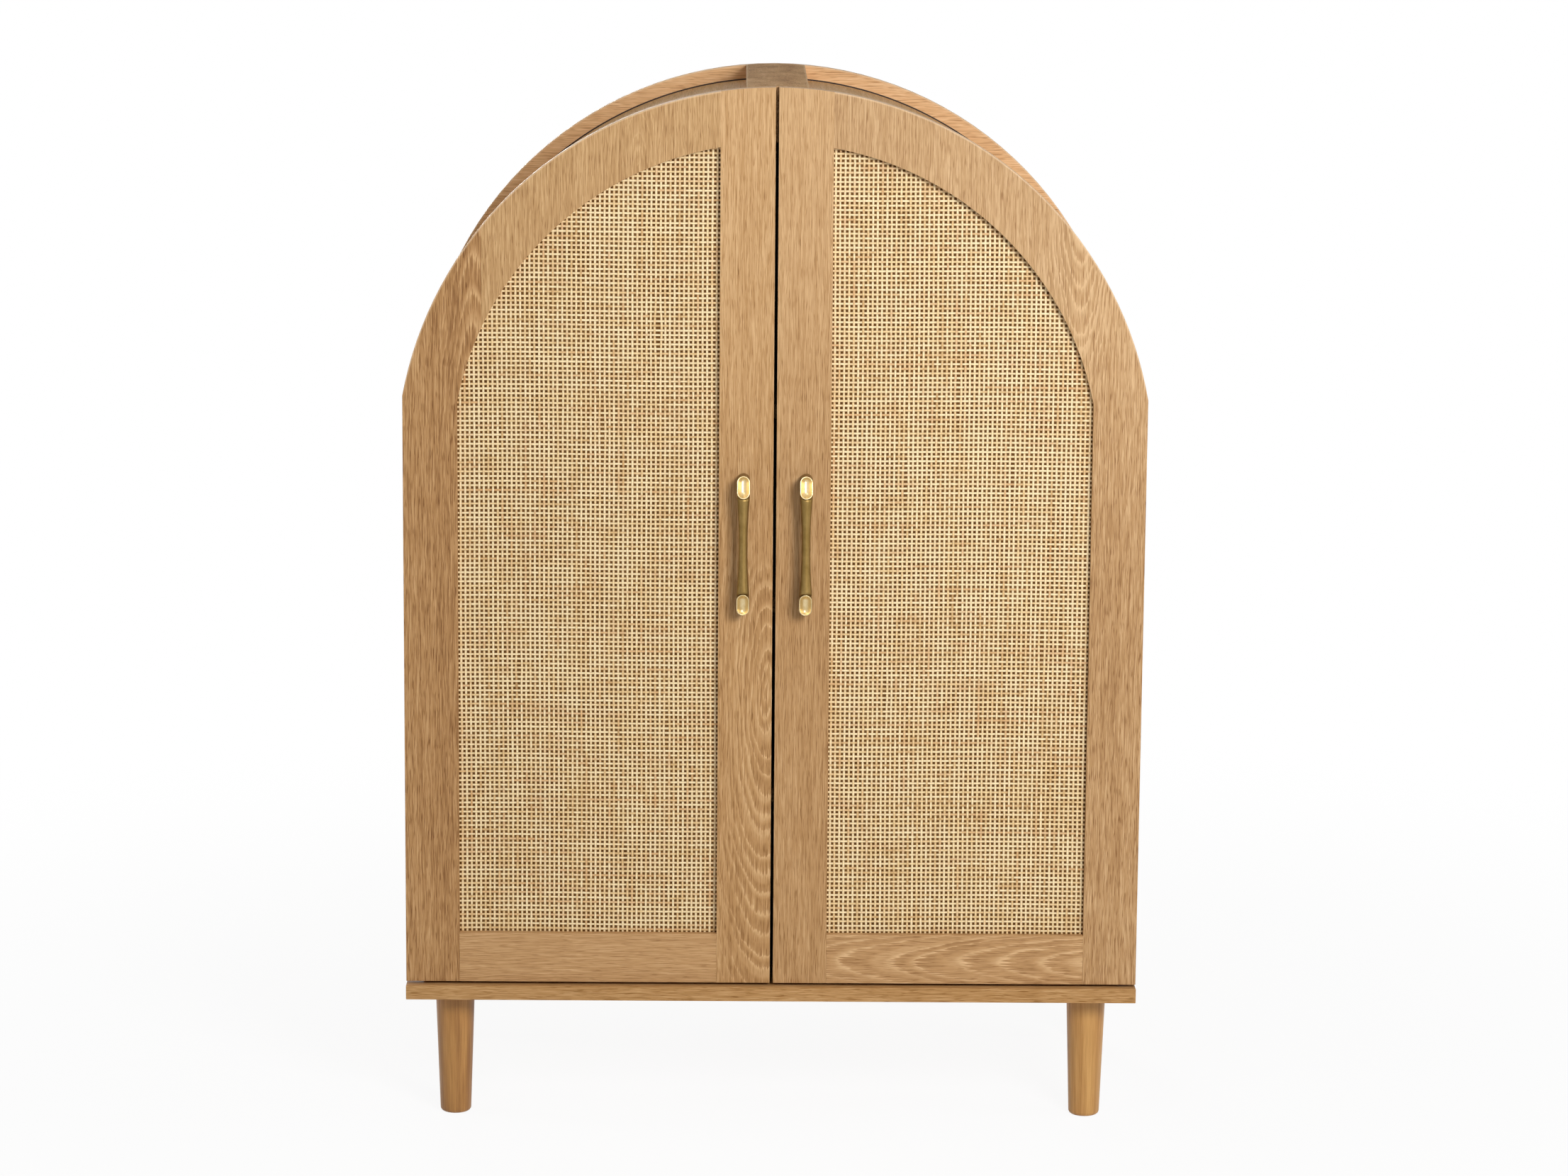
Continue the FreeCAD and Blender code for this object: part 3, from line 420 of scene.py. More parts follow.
def metal(name, dark, light, low, high):
    """Satin metal with fine brushing and a little tarnish, its roughness between low and high."""
    g = Graph(name)
    place = g.position()
    cloud = g.noise(place, (120, 120, 90), 3)
    brush = g.noise(place, (900, 900, 60), 3, 0.6)
    tone = g.total((cloud, 0.6), (brush, 0.4))
    colour = g.ramp(tone, (0.32, dark), (0.68, light))
    g.bump(brush, strength=0.06, distance=0.0003)
    return g.finish(metallic=1.0, base_color=colour, roughness=g.rough(tone, high, low))


LIGHT_OAK = (rgb(134, 92, 48), rgb(180, 137, 87), rgb(214, 175, 127))
EVEN_OAK = (rgb(130, 89, 47), rgb(175, 133, 85), rgb(208, 169, 122))
BOW_OAK = (rgb(140, 98, 55), rgb(185, 143, 95), rgb(220, 182, 136))
WARM_OAK = (rgb(123, 81, 41), rgb(172, 128, 79), rgb(208, 167, 118))
ARCH_OAK = (rgb(147, 106, 64), rgb(190, 151, 105), rgb(222, 187, 144))
LEE_OAK = (rgb(135, 93, 52), rgb(179, 138, 91), rgb(214, 177, 132))
DULL_OAK = (rgb(143, 102, 58), rgb(187, 147, 98), rgb(220, 183, 135))
BACK_OAK = (rgb(172, 126, 78), rgb(217, 171, 121), rgb(243, 207, 163))
ROOF_OAK = (rgb(176, 134, 87), rgb(203, 161, 111), rgb(222, 182, 135))
LEG_OAK = (rgb(136, 89, 38), rgb(178, 128, 67), rgb(206, 158, 92))

BRASS = metal("satin_brass", rgb(120, 96, 51), rgb(147, 121, 73), 0.42, 0.54)
POLISHED = metal("polished_brass", rgb(203, 180, 132), rgb(229, 208, 163), 0.32, 0.40)
STEEL = metal("zinc_steel", rgb(150, 150, 148), rgb(190, 190, 188), 0.28, 0.40)
MAGNET = metal("catch_nickel", rgb(96, 96, 98), rgb(132, 132, 134), 0.35, 0.50)
CANE = cane_fibre("peeled_cane")
BACKING_SHEET = backing_sheet("cane_backing")
SAWN = end_grain("sawn_ridge")
LEG_WOOD = turned_oak("turned_oak", LEG_OAK)

# Figures: heart, centre, narrowness, spacing, strength, and the low and high ends of their stretch
WOOD = {
    "base_board": oak("oak_base", "x", (3.1, 0.4, 0.2), LIGHT_OAK, gloss=0.08),
    "back_panel": oak("oak_back", "x", (1.7, 0.9, 0.0), BACK_OAK, rim_highlight=True, seam_shadow=True),
    "left_side_panel": oak("oak_side_left", "z", (0.3, 2.2, 0.7), LIGHT_OAK),
    "right_side_panel": oak("oak_side_right", "z", (5.3, 1.2, 0.1), LIGHT_OAK),
    "left_roof_panel": oak("oak_roof_left", "y", (2.3, 0.2, 1.1), ROOF_OAK, contrast=0.95, gloss=0.08),
    "right_roof_panel": oak("oak_roof_right", "y", (4.3, 0.5, 1.9), ROOF_OAK, contrast=0.95, gloss=0.08),
    "lower_shelf": oak("oak_shelf_low", "x", (0.7, 0.5, 0.2), LIGHT_OAK),
    "middle_shelf": oak("oak_shelf_mid", "x", (1.7, 0.8, 0.3), LIGHT_OAK),
    "upper_shelf": oak("oak_shelf_high", "x", (2.7, 0.1, 0.4), LIGHT_OAK),
    "left_outer_stile": oak("oak_left_outer", "z", (0.0, 0.0, 0.0), WARM_OAK, rim_highlight=True, contrast=1.25,
                            figure=(-0.324, 0.55, 11.0, 0.036, 0.75, 0.78, 0.99)),
    "left_inner_stile": oak("oak_left_inner", "z", (1.1, 0.3, 0.5), LIGHT_OAK, painted_top_light=0.17,
                            figure=(-0.008, 0.485, 4.6, 0.022, 0.75, 0.16, 0.60)),
    "left_arch_rail": oak("oak_left_arch", "z", (2.1, 0.6, 0.9), DULL_OAK, rim_highlight=True,
                          figure=(-0.147, 1.05, 4.0, 0.018, 0.35, 0.92, 1.1)),
    "left_bottom_rail": oak("oak_left_rail", "x", (3.1, 0.7, 0.1), BOW_OAK, contrast=0.75),
    "right_outer_stile": oak("oak_right_outer", "z", (6.1, 0.8, 0.7), LEE_OAK, rim_highlight=True, contrast=1.25,
                             painted_top_light=0.27, figure=(0.325, 1.20, 8.7, 0.024, 0.75, 0.86, 1.0)),
    "right_inner_stile": oak("oak_right_inner", "z", (5.1, 0.4, 0.6), EVEN_OAK, painted_top_light=0.28),
    "right_arch_rail": oak("oak_right_arch", "z", (6.1, 0.8, 0.7), ARCH_OAK, rim_highlight=True,
                           figure=(0.325, 1.20, 8.7, 0.024, 0.65, 0.86, 1.0)),
    "right_bottom_rail": oak("oak_right_rail", "x", (7.1, 0.1, 0.5), BOW_OAK, contrast=0.85,
                             figure=(0.183, 0.75, 12.5, 0.044, 0.75, 0.05, 0.36)),
}
BEAD_WOOD = oak("oak_beads", "z", (0.9, 0.9, 0.9), WARM_OAK)


# ---- Pieces and their shapes

SHARP_ANGLE = math.radians(32)  # edges over this stay sharp in shading
EASED_ANGLE = math.radians(40)  # edges over this are eased
WELD_GAP = 0.00001
FRAME_EASE, BOARD_EASE, RIDGE_EASE, MAGNET_EASE, TONGUE_EASE = 0.0003, 0.0006, 0.0012, 0.0006, 0.0002


def smoothing():
    """Geometry nodes that shade a mesh smooth except across sharp edges."""
    group = bpy.data.node_groups.new("smooth_by_angle", "GeometryNodeTree")
    group.interface.new_socket("Geometry", in_out="INPUT", socket_type="NodeSocketGeometry")
    group.interface.new_socket("Geometry", in_out="OUTPUT", socket_type="NodeSocketGeometry")
    entry = group.nodes.new("NodeGroupInput")
    leave = group.nodes.new("NodeGroupOutput")
    faces = group.nodes.new("GeometryNodeSetShadeSmooth")
    edges = group.nodes.new("GeometryNodeSetShadeSmooth")
    edges.domain = "EDGE"
    edges.inputs["Shade Smooth"].default_value = False
    angle = group.nodes.new("GeometryNodeInputMeshEdgeAngle")
    sharp = group.nodes.new("FunctionNodeCompare")
    sharp.operation = "GREATER_THAN"
    sharp.inputs["B"].default_value = SHARP_ANGLE
    group.links.new(entry.outputs[0], faces.inputs["Geometry"])
    group.links.new(faces.outputs[0], edges.inputs["Geometry"])
    group.links.new(angle.outputs["Unsigned Angle"], sharp.inputs["A"])
    group.links.new(sharp.outputs[0], edges.inputs["Selection"])
    group.links.new(edges.outputs[0], leave.inputs[0])
    return group


SMOOTHING = smoothing()


def crisp(item):
    """Shades an object smooth except across its sharp edges, by modifiers alone."""
    item.modifiers.new("smooth", "NODES").node_group = SMOOTHING
    item.modifiers.new("even_normals", "WEIGHTED_NORMAL").keep_sharp = True


def soften(item, width):
    """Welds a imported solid's facets and eases its edges, by modifiers alone."""
    weld = item.modifiers.new("weld", "WELD")
    weld.merge_threshold = WELD_GAP
    if width:
        bevel = item.modifiers.new("eased_edges", "BEVEL")
        bevel.width = width
        bevel.segments = 2
        bevel.limit_method = "ANGLE"
        bevel.angle_limit = EASED_ANGLE
        bevel.use_clamp_overlap = True
    crisp(item)


def paint(item, material):
    """Gives an object one material in its own slot."""
    if not item.material_slots:
        item.data.materials.append(material)
    for slot in item.material_slots:
        slot.link = "OBJECT"
        slot.material = material


def added(name, data):
    """A new object in the scene."""
    made = bpy.data.objects.new(name, data)
    scene.collection.objects.link(made)
    return made


def piece(mesh, body, material, node, smooth=True):
    """Adds a made mesh as a piece of the same name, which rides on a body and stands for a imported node."""
    made = added(mesh.name, mesh)
    mesh.materials.append(material)
    for face in mesh.polygons:
        face.use_smooth = smooth
    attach(made, body)
    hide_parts(node)
    return made


def circle(place, radius, height, count):
    """Points of a ring round the axis of a turned form, in the places that a function gives."""
    angles = [2 * math.pi * k / count for k in range(count)]
    return [place(radius * math.cos(angle), radius * math.sin(angle), height) for angle in angles]


def corners(shape, points):
    """New corners of a shape."""
    return [shape.verts.new(point) for point in points]


def skin(shape, a, b):
    """Joins two rings of equal count with faces."""
    for k in range(len(a)):
        j = (k + 1) % len(a)
        shape.faces.new((a[k], a[j], b[j], b[k]))


def loft(shape, loops):
    """Skins closed loops of equal length and caps both ends."""
    rings = [corners(shape, loop) for loop in loops]
    for a, b in zip(rings, rings[1:]):
        skin(shape, a, b)
    shape.faces.new(list(reversed(rings[0])))
    shape.faces.new(rings[-1])


def meshed(shape, name):
    """Turns a shape's faces outward, makes a mesh of it, and frees it."""
    bmesh.ops.recalc_face_normals(shape, faces=shape.faces)
    mesh = bpy.data.meshes.new(name)
    shape.to_mesh(mesh)
    shape.free()
    return mesh


def finish_of(name):
    """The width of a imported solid's eased edges, and its material."""
    if name in WOOD:
        return FRAME_EASE if "stile" in name or "rail" in name else BOARD_EASE, WOOD[name]
    if name == "ridge_beam":
        return RIDGE_EASE, SAWN
    if name == "catch_magnets":
        return MAGNET_EASE, MAGNET
    if name == "shell_tongues":
        return TONGUE_EASE, BEAD_WOOD
    if name.endswith("cane_beads"):
        return 0.0, BEAD_WOOD
    if name.endswith("_legs"):
        return 0.0, LEG_WOOD
    if name.endswith("handle") or "hinge" in name and "screws" not in name:
        return 0.0, BRASS
    return 0.0, STEEL


for name, item in nodes.items():
    width, material = finish_of(name)
    soften(item, width)
    paint(item, material)


# ---- Woven cane, strand by strand

CANE_PITCH = 0.0050
STRAND_WIDTH = 0.0024
STRAND_CROWN = 0.00036  # how far a strand's middle stands out from its edges
WEAVE_RISE = 0.00020  # how far it passes over or under the others
CUT_MARGIN = 0.0006  # how far inside the sheet's outline it ends

# Unevenness of the weave, as spreads, reaches and ranges
COLUMN_JITTER, ROW_JITTER, KNOT_JITTER = 0.00006, 0.00007, 0.00006
WAVES, WAVE_X, WAVE_Z = 5, 0.00016, 0.00028
WAVE_RATES, WAVE_PHASES = (6, 22), (0, 6.28)
SLITS, SLIT_PUSH, SLIT_MARGIN = 7, 0.00075, 6
SLIT_HEIGHTS, SLIT_LENGTHS = (0.26, 0.9), (0.012, 0.035)
SLIT_SHARES = ((-1, 0.3), (0, 1.0))  # steps from a slit, and the share of its push that strands take there

# A strand's width, tone and blush: spreads, and the step and pull of their drift along it
WIDTH_BETWEEN, WIDTH_ALONG = 0.025, 0.04
# The last tone value is painted light: strands are paler where they pass over and darker where they pass
# under.
TONE, TONE_BETWEEN, TONE_DRIFT, TONE_PAINTED_OVER = 0.82, 0.05, (0.10, 0.17), 0.10
BLUSH_GAIN, BLUSH_DRIFT, BLUSH_MOST = 2.0, (0.14, 0.115), 0.9
BLUSH_UPRIGHT, BLUSH_LEVEL = 0.46, 0.20  # what the drift has to pass before a strand blushes


def cane_sheet(side):
    """A cane sheet's box, how far its inner and outer edges lie from the middle, and its arch's radius."""
    low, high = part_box(side + "_cane_panel")
    near, far = sorted((abs(low.x), abs(high.x)))
    return low, high, near, far, math.hypot(high.z - ARCH_CENTRE, near)


def ribbon(points, width, tone, blush):
    """Vertices, faces and colours of one closed strand whose middle line follows points: two sloping
    front faces that meet at a crown, a flat back with its own corners, and both ends."""
    count = len(points)
    ahead = np.gradient(points, axis=0)
    side = np.stack([ahead[:, 2], np.zeros(count), -ahead[:, 0]], axis=1)
    side /= np.linalg.norm(side, axis=1)[:, None]
    edge = side * (width / 2)[:, None]
    crown = np.array([0.0, -STRAND_CROWN, 0.0])
    rows = np.stack([points - edge, points + crown, points + edge, points - edge, points + edge], axis=1)
    ring = rows.shape[1]
    base = (np.arange(count - 1) * ring)[:, None]
    front = np.concatenate([base, base + 1, base + ring + 1, base + ring], axis=1)
    rear = np.concatenate([base + 4, base + 3, base + ring + 3, base + ring + 4], axis=1)
    last = (count - 1) * ring
    faces = np.concatenate([front, front + 1, rear]).tolist() + [[0, 2, 1], [last, last + 1, last + 2]]
    colour = np.repeat(np.stack([tone, blush, np.zeros(count), np.ones(count)], axis=1), ring, axis=0)
    colour[1::ring, 2] = 1.0
    return rows.reshape(-1, 3), faces, colour


def drift(rng, count, step, pull):
    """A slow random walk that keeps returning to zero."""
    out = np.zeros(count)
    value = 0.0
    for k in range(count):
        value = value * (1 - pull) + rng.normal(0.0, step)
        out[k] = value
    return out


def crossings(rng, low, high):
    """Where the strands of a sheet cross: grids of x and z, jittered, waving, and parted at a few slits."""
    columns = int((high.x - low.x) / CANE_PITCH)
    rows = int((high.z - low.z) / CANE_PITCH)
    across = low.x + (np.arange(columns) + 0.5) * (high.x - low.x) / columns
    upward = low.z + (np.arange(rows) + 0.5) * (high.z - low.z) / rows
    across = across + rng.normal(0, COLUMN_JITTER, columns)
    upward = upward + rng.normal(0, ROW_JITTER, rows)
    grid_x = np.repeat(across[:, None], rows, axis=1)
    grid_z = np.repeat(upward[None, :], columns, axis=0)
    for _ in range(WAVES):
        rate, phase = rng.uniform(*WAVE_RATES, 2), rng.uniform(*WAVE_PHASES, 2)
        grid_x += WAVE_X * np.sin(rate[0] * grid_z + phase[0])
        grid_z += WAVE_Z * np.sin(rate[1] * grid_x + phase[1])
    grid_x[1:-1] += rng.normal(0, KNOT_JITTER, (columns - 2, rows))
    grid_z[1:-1] += rng.normal(0, KNOT_JITTER, (columns - 2, rows))
    for _ in range(SLITS):
        slit = rng.integers(SLIT_MARGIN, columns - SLIT_MARGIN - 1)
        height, length = rng.uniform(*SLIT_HEIGHTS), rng.uniform(*SLIT_LENGTHS)
        parted = np.exp(-((upward - height) / length) ** 2)
        for step, share in SLIT_SHARES:
            grid_x[slit + step] -= SLIT_PUSH * share * parted
            grid_x[slit + 1 - step] += SLIT_PUSH * share * parted
    return grid_x, grid_z


def weave(side, seed):
    """The plain weave of one door's cane sheet, cut to the sheet's arched outline."""
    rng = np.random.default_rng(seed)
    low, high, _, far, radius = cane_sheet(side)
    middle = (low.y + high.y - BACKING) / 2
    grid_x, grid_z = crossings(rng, low, high)
    inside = (grid_z < ARCH_CENTRE) | (np.hypot(grid_x, grid_z - ARCH_CENTRE) < radius - CUT_MARGIN)
    inside &= np.abs(grid_x) < far - CUT_MARGIN
    over = np.where(np.indices(grid_x.shape).sum(axis=0) % 2 == 0, 1.0, -1.0)
    uprights = (grid_x, grid_z, inside, over)
    levels = (grid_x.T, grid_z.T, inside.T, -over.T)
    verts, faces, colours, total = [], [], [], 0
    for grids, least in ((uprights, BLUSH_UPRIGHT), (levels, BLUSH_LEVEL)):
        for xs, zs, take, sign in zip(*grids):
            if take.sum() < 2:
                continue
            rise = sign[take] * WEAVE_RISE
            knots = np.stack([xs[take], middle - rise, zs[take]], axis=1)
            size = len(knots)
            width = STRAND_WIDTH * (1 + rng.normal(0, WIDTH_BETWEEN) + rng.normal(0, WIDTH_ALONG, size))
            tone = TONE + rng.normal(0, TONE_BETWEEN) + drift(rng, size, *TONE_DRIFT)
            # Painted light and shade: paler where the strand passes over, darker where it passes under.
            tone = np.clip(tone + TONE_PAINTED_OVER * rise / WEAVE_RISE, 0.0, 1.0)
            blush = np.clip(BLUSH_GAIN * drift(rng, size, *BLUSH_DRIFT) - least, 0.0, BLUSH_MOST)
            patch, flat, colour = ribbon(knots, width, tone, blush)
            verts.append(patch)
            faces += [[corner + total for corner in face] for face in flat]
            colours.append(colour)
            total += len(patch)
    mesh = bpy.data.meshes.new(side + "_woven_cane")
    mesh.from_pydata(np.concatenate(verts).tolist(), [], faces)
    strand = mesh.color_attributes.new("strand", "FLOAT_COLOR", "POINT")
    strand.data.foreach_set("color", np.concatenate(colours).astype(np.float32).ravel())
    piece(mesh, side + "_door", CANE, side + "_cane_panel")


def backing(side, steps=64):
    """The thin brown sheet that the cane is laid on, cut to the same arched outline."""
    low, high, near, far, radius = cane_sheet(side)
    way = 1 if high.x > 0 else -1
    start, stop = (math.acos(min(1.0, reach / radius)) for reach in (far, near))
    outline = [(near, low.z), (far, low.z)]
    for k in range(steps + 1):
        angle = start + (stop - start) * k / steps
        outline.append((radius * math.cos(angle), ARCH_CENTRE + radius * math.sin(angle)))
    shape = bmesh.new()
    loft(shape, [[(way * x, y, z) for x, z in outline] for y in (high.y - BACKING, high.y)])
    mesh = meshed(shape, side + "_cane_backing")
    piece(mesh, side + "_door", BACKING_SHEET, side + "_cane_panel", smooth=False)


for side, seed in (("left", 11), ("right", 23)):
    weave(side, seed)
    backing(side)


# ---- Scooped bar handles

POST_HALF = 0.012  # half the height of a post
FACET_SLOPE = math.tan(math.radians(18))
LIP = ((0.0, 0.0006), (0.00012, 0.00022), (0.0004, 0.0), (0.0008, 0.00002), (0.0011, 0.0002))
SCOOP_START, SCOOP_END, SCOOP_STEPS = 0.0013, 0.0067, 9
SCOOP_BRINK, SCOOP_DROP, SCOOP_DEPTH = 0.0012, 0.0003, 0.0046
FACET_REACH, FACET_TILT = 0.0112, 0.35  # faces this near the front, and so turned to it, are polished

BAR_STEPS, BAR_SIDES = 36, 36
BAR_GAP = 0.001  # from a post to the end of the bar's full depth
BAR_TUCK, TUCK_ROUND, TUCK_BACK = 0.0041, 0.0042, 0.0036  # its rounded end inside the post
BAR_BACK, BAR_DEPTH, BAR_SWELL = 0.0070, 0.0056, 0.0010
WAIST_HALF, WAIST_REACH, FLARE_POWER, FLARE_INSET = 0.0048, 0.010, 1.7, 0.0002


def stadium(half_width, straight, count=16):
    """Points of an upright round-ended slot, anticlockwise from the right."""
    points = []
    for centre, first in ((straight, 0.0), (-straight, math.pi)):
        for k in range(count + 1):
            angle = first + math.pi * k / count
            points.append((half_width * math.cos(angle), centre + half_width * math.sin(angle)))
    return points


def handle(side):
    """A waisted bar between two round-ended posts, each sliced aslant, lipped and scooped."""
    low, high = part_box(side + "_handle")
    centre = (low + high) / 2
    half, tall, reach = (high.x - low.x) / 2, (high.z - low.z) / 2, high.y - low.y
    post = tall - POST_HALF

    def at(across, up, out):
        return (centre.x + across, high.y - out, centre.z + up)

    # Rings of a post, as offsets in from its side and drops behind its facet: root, lip and scoop
    steps = [(0.0, None), *LIP]
    for k in range(SCOOP_STEPS + 1):
        offset = SCOOP_START + (SCOOP_END - SCOOP_START) * k / SCOOP_STEPS
        share = (half - offset) / (half - SCOOP_BRINK)
        steps.append((offset, SCOOP_DROP + SCOOP_DEPTH * (1 - share ** 2)))
    shape = bmesh.new()
    for way in (1, -1):
        loops = []
        for offset, drop in steps:
            loop = []
            for across, up in stadium(half - offset, POST_HALF - half):
                out = 0.0 if drop is None else reach - (up + POST_HALF) * FACET_SLOPE - drop
                loop.append(at(across, way * (post + up), out))
            loops.append(loop)
        loft(shape, loops)
    post_faces = len(shape.faces)

    end = post - POST_HALF - BAR_GAP
    loops = []
    for k in range(2 * BAR_STEPS + 1):
        up = (end + BAR_TUCK) * (k / BAR_STEPS - 1)
        flare = min(1.0, max(0.0, (abs(up) - WAIST_REACH) / (end - WAIST_REACH))) ** FLARE_POWER
        width = WAIST_HALF + (half - FLARE_INSET - WAIST_HALF) * flare
        tuck = max(0.0, (abs(up) - end) / TUCK_ROUND)
        depth = (BAR_DEPTH + BAR_SWELL * flare) * math.sqrt(1 - tuck * tuck)
        out = reach - BAR_BACK - TUCK_BACK * tuck
        angles = [2 * math.pi * j / BAR_SIDES for j in range(BAR_SIDES)]
        loops.append([at(width * math.cos(angle), up, out + depth * math.sin(angle)) for angle in angles])
    loft(shape, loops)

    mesh = meshed(shape, side + "_bar_handle")
    piece(mesh, side + "_door", BRASS, side + "_handle")
    mesh.materials.append(POLISHED)
    for face in mesh.polygons[:post_faces]:
        if face.center.y < low.y + FACET_REACH and abs(face.normal.y) > FACET_TILT:
            face.material_index = 1


for side in ("left", "right"):
    handle(side)


# ---- Screws with crossed heads, and round shelf pins

MERGE_GAP = 0.000001
FITTING_SIDES = 40
PIN_EASE = 0.0006
END_SLICE = 0.0003  # corners this near an end of a packed screw give its radius there
FACE_SHARE = 0.90  # of the head's radius, as are the depths of its rings and the cross's lengths
HEAD_ROUND, HEAD_EDGE, HEAD_DEPTH = 0.08, 0.2, 0.8
CROSS_ARM, CROSS_HALF, CROSS_DEPTH, CROSS_TAPER = 0.62, 0.15, 0.45, 0.85
POINT_SHARE = 0.15  # of the shank's radius


def bodies(name):
    """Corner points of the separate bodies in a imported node, one array for each."""
    shape = bmesh.new()
    shape.from_mesh(nodes[name].data)
    bmesh.ops.remove_doubles(shape, verts=shape.verts, dist=MERGE_GAP)
    left = set(shape.verts)
    found = []
    while left:
        group, edge = [], [left.pop()]
        while edge:
            vert = edge.pop()
            group.append(vert.co[:])
            for link in vert.link_edges:
                other = link.other_vert(vert)
                if other in left:
                    left.remove(other)
                    edge.append(other)
        found.append(np.array(group))
    shape.free()
    return found


def ring_edges(shape, ring):
    """The edges of a closed ring, made where they are missing."""
    return [shape.edges.get(pair) or shape.edges.new(pair) for pair in zip(ring, ring[1:] + ring[:1])]


def screw(shape, points):
    """A flush screw with a crossed recess, in the place of one packed screw that lies along Y."""
    low, high = points.min(axis=0), points.max(axis=0)
    middle = (low + high) / 2
    spread = np.hypot(points[:, 0] - middle[0], points[:, 2] - middle[2])
    rear = spread[points[:, 1] > high[1] - END_SLICE].max()
    front = spread[points[:, 1] < low[1] + END_SLICE].max()
    out, face = (1, high[1]) if rear > front else (-1, low[1])
    head, shank = max(rear, front), min(rear, front)
    length = high[1] - low[1]

    def place(across, up, depth):
        return (middle[0] + across, face - out * depth, middle[2] + up)

    arm, wide = CROSS_ARM * head, CROSS_HALF * head
    cross = [(arm, -wide), (arm, wide), (wide, wide), (wide, arm), (-wide, arm), (-wide, wide)]
    cross += [(-x, -y) for x, y in cross]
    mouth = corners(shape, [place(x, y, 0.0) for x, y in cross])
    pit = corners(shape, [place(CROSS_TAPER * x, CROSS_TAPER * y, CROSS_DEPTH * head) for x, y in cross])
    ring = corners(shape, circle(place, FACE_SHARE * head, 0.0, FITTING_SIDES))
    bmesh.ops.triangle_fill(shape, use_beauty=True, edges=ring_edges(shape, mouth) + ring_edges(shape, ring))
    skin(shape, mouth, pit)
    shape.faces.new(pit)
    for radius, depth in ((head, HEAD_ROUND * head), (head, HEAD_EDGE * head), (shank, HEAD_DEPTH * head),
                          (shank, length - shank), (POINT_SHARE * shank, length)):
        further = corners(shape, circle(place, radius, depth, FITTING_SIDES))
        skin(shape, ring, further)
        ring = further
    shape.faces.new(ring)


def pin(shape, points):
    """A round shelf pin along X with eased ends, in the place of one packed pin."""
    low, high = points.min(axis=0), points.max(axis=0)
    middle = (low + high) / 2
    radius = (high[2] - low[2]) / 2
    length = high[0] - low[0]

    def place(across, up, along):
        return (low[0] + along, middle[1] + across, middle[2] + up)

    profile = ((radius - PIN_EASE, 0.0), (radius, PIN_EASE), (radius, length - PIN_EASE),
               (radius - PIN_EASE, length))
    loft(shape, [circle(place, reach, along, FITTING_SIDES) for reach, along in profile])


def fittings(name, body, make):
    """Replaces a node of small fittings with rounder ones in the same places."""
    shape = bmesh.new()
    for points in bodies(name):
        make(shape, points)
    crisp(piece(meshed(shape, name + "_round"), body, STEEL, name))


fittings("back_screws", "carcass", screw)
fittings("shelf_pins", "carcass", pin)
for side in ("left", "right"):
    fittings(side + "_hinge_side_screws", "carcass", screw)
    fittings(side + "_door_screws", side + "_door", screw)
    fittings(side + "_handle_screws", side + "_door", screw)


# ---- Turned legs with rounded feet

LEG_SIDES = 64
FOOT_RADIUS, FOOT_ROUND, FOOT_STEPS = 0.0170, 0.0045, 8
LEG_TOP = ((0.0004, 0.0012), (0.0008, 0.0))  # in from the top's radius, and down from the top


def turned_legs(name):
    """A pair of round legs that taper to a softly rounded foot."""
    low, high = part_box(name)
    radius = (high.y - low.y) / 2
    profile = []
    for k in range(FOOT_STEPS + 1):
        angle = math.pi / 2 * k / FOOT_STEPS
        inset, height = FOOT_ROUND * (1 - math.sin(angle)), FOOT_ROUND * (1 - math.cos(angle))
        profile.append((FOOT_RADIUS - inset, low.z + height))
    profile += [(radius - inset, high.z - drop) for inset, drop in LEG_TOP]
    shape = bmesh.new()
    for centre in (low.x + radius, high.x - radius):

        def place(across, back, height):
            return (centre + across, low.y + radius + back, height)

        loft(shape, [circle(place, reach, height, LEG_SIDES) for reach, height in profile])
    crisp(piece(meshed(shape, name + "_turned"), "carcass", LEG_WOOD, name))


for name in ("front_legs", "rear_legs"):
    turned_legs(name)


# ---- Floor, light and camera

FLOOR_RADIUS, FLOOR_SIDES = 9.0, 96
FLOOR_WHITE = (0.5, 2.0, 0.92, 1.0)  # from the first distance to the second, how much of it shows as white
WORLD_STRENGTH = 0.12
SENSOR_WIDTH = 36.0  # millimetres


def seen(tree):
    """One where a ray shows the background itself, also in metal or glass, and zero where it only lights."""
    rays = tree.nodes.new("ShaderNodeLightPath").outputs
    value = rays["Is Camera Ray"]
    for kind in ("Is Glossy Ray", "Is Transmission Ray"):
        either = tree.nodes.new("ShaderNodeMath")
        either.operation = "MAXIMUM"
        tree.links.new(value, either.inputs[0])
        tree.links.new(rays[kind], either.inputs[1])
        value = either.outputs[0]
    return value


def pale_floor():
    """A pale floor that keeps the object's shadow and turns to plain white further out."""
    g = Graph("pale_floor")
    g.finish(base_color=g.blend(g.noise(g.position(), (3, 3, 3)), grey(0.84), grey(0.88)), roughness=0.9)
    x, y, _ = g.split(g.position())
    mix = g.node("ShaderNodeMixShader")
    g.put(mix.inputs[0], g.times(seen(g.tree), g.span(g.hypot(x, y), *FLOOR_WHITE)))
    g.put(mix.inputs[1], g.shader.outputs[0])
    g.put(mix.inputs[2], g.node("ShaderNodeEmission").outputs[0])
    g.put(g.output.inputs["Surface"], mix.outputs[0])
    return g.material


def floor():
    """A round floor under the feet."""
    mesh = bpy.data.meshes.new("floor")
    ring = circle(lambda x, y, z: (x, y, z), FLOOR_RADIUS, 0.0, FLOOR_SIDES)
    mesh.from_pydata(ring, [], [range(FLOOR_SIDES)])
    mesh.materials.append(pale_floor())
    added("floor", mesh)


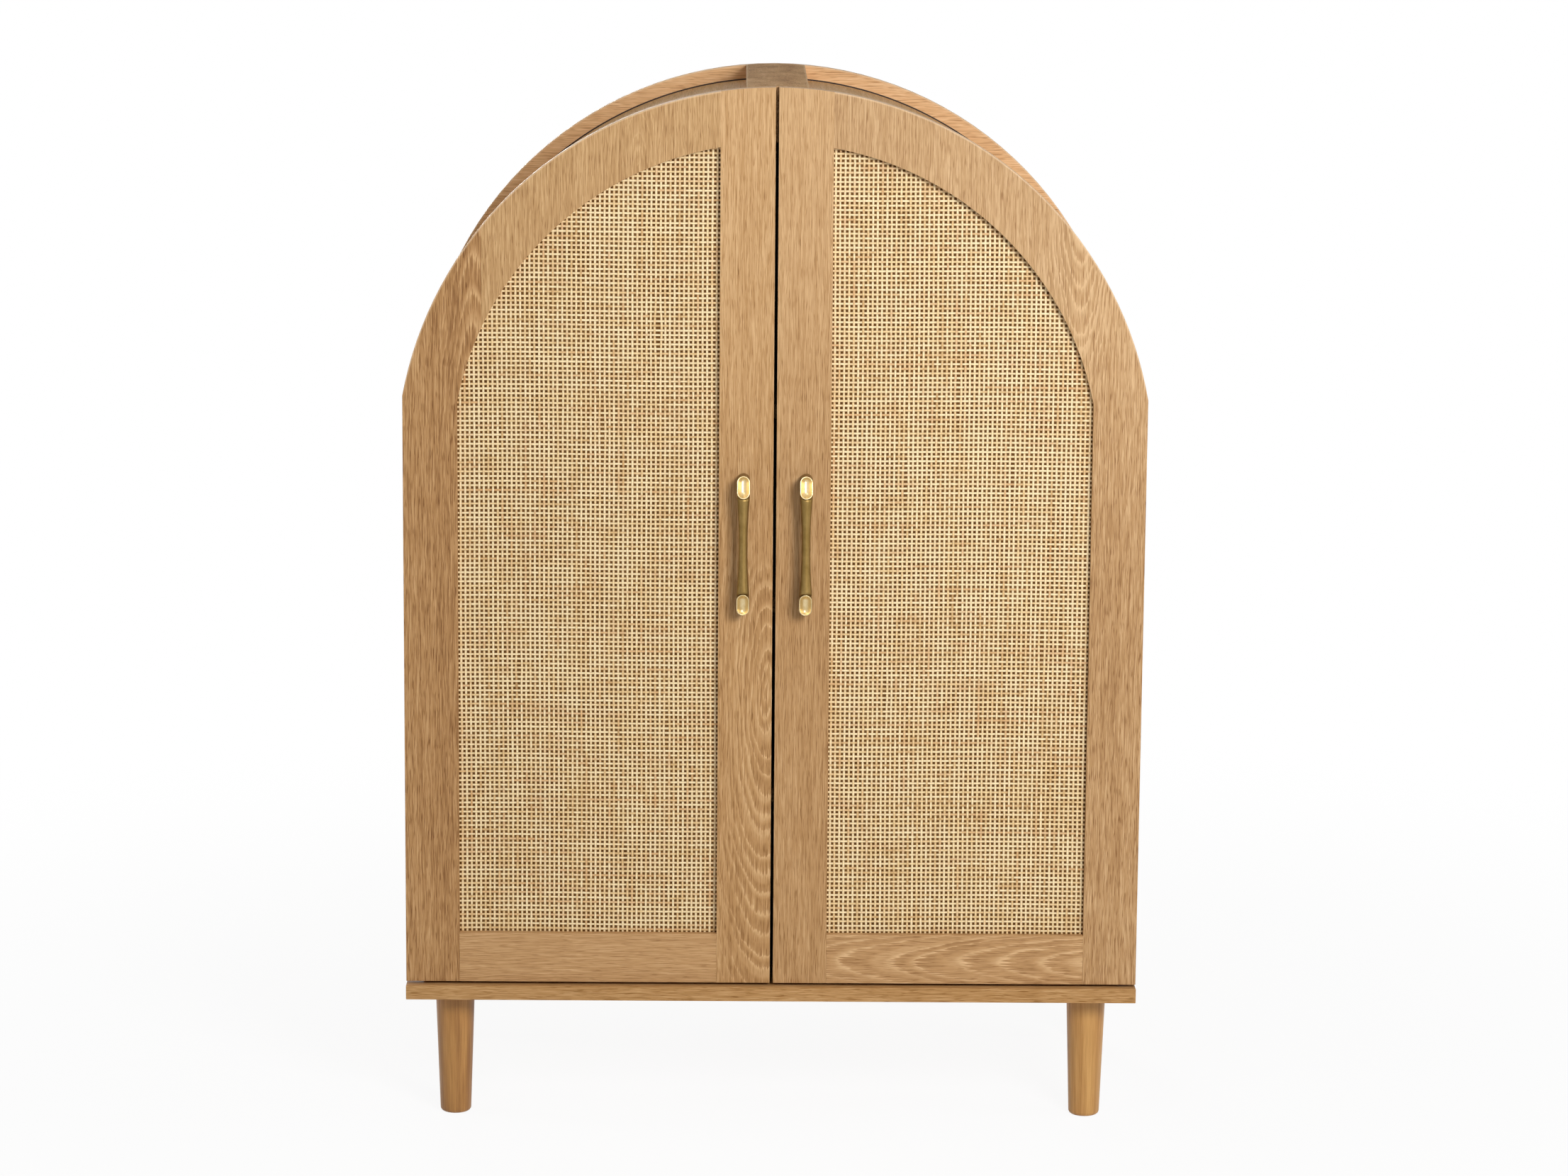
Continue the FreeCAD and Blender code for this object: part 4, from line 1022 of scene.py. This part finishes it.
def world_light(strength):
    """White to the eye and in reflections, and a soft even light on the object."""
    world = bpy.data.worlds.new("studio")
    scene.world = world
    world.use_nodes = True
    tree = world.node_tree
    tree.nodes.clear()
    output = tree.nodes.new("ShaderNodeOutputWorld")
    back = tree.nodes.new("ShaderNodeBackground")
    back.inputs["Color"].default_value = grey(1.0)
    level = tree.nodes.new("ShaderNodeMapRange")
    level.inputs["To Min"].default_value = strength
    level.inputs["To Max"].default_value = 1.0
    tree.links.new(seen(tree), level.inputs["Value"])
    tree.links.new(level.outputs[0], back.inputs["Strength"])
    tree.links.new(back.outputs[0], output.inputs["Surface"])


def lamp(name, place, target, power, width, height):
    """A soft rectangular lamp that faces a point."""
    data = bpy.data.lights.new(name, "AREA")
    data.shape = "RECTANGLE"
    data.size = width
    data.size_y = height
    data.energy = power
    made = added(name, data)
    made.location = place
    made.rotation_mode = "QUATERNION"
    made.rotation_quaternion = (Vector(target) - Vector(place)).to_track_quat("-Z", "Y")


def camera(place, pitch, yaw, roll, focal):
    """The photograph's camera. Pitch is downward and yaw to the right, in degrees with roll, and focal is in
    widths of the picture."""
    data = bpy.data.cameras.new("photo_view")
    data.sensor_width = SENSOR_WIDTH
    data.lens = SENSOR_WIDTH * focal
    made = added("photo_view", data)
    p, w, r = (math.radians(angle) for angle in (pitch, yaw, roll))
    forward = Vector((math.sin(w) * math.cos(p), math.cos(w) * math.cos(p), -math.sin(p)))
    level = Vector((math.cos(w), -math.sin(w), 0.0))
    upright = Vector((math.sin(w) * math.sin(p), math.cos(w) * math.sin(p), math.cos(p)))
    right = level * math.cos(r) - upright * math.sin(r)
    up = level * math.sin(r) + upright * math.cos(r)
    turn = Matrix((right, up, -forward)).transposed().to_4x4()
    made.matrix_world = Matrix.Translation(place) @ turn
    scene.camera = made


floor()
world_light(WORLD_STRENGTH)
lamp("key", (1.1, -2.65, 1.8), (0.0, -0.15, 0.75), power=66.0, width=0.9, height=0.9)
lamp("top", (-0.5, -1.3, 2.7), (0.0, -0.1, 0.8), power=8.0, width=1.4, height=1.0)
lamp("rear", (-0.7, 3.0, 1.05), (0.0, 0.2, 0.7), power=32.0, width=1.0, height=1.0)
lamp("left", (-3.0, 0.35, 1.1), (0.0, 0.0, 0.7), power=20.0, width=1.0, height=1.0)
lamp("right", (3.0, -0.4, 1.15), (0.0, -0.1, 0.7), power=14.0, width=1.0, height=1.0)
camera((-0.0337, -5.0315, 1.4771), pitch=10.267, yaw=0.525, roll=-0.452, focal=2.9078)
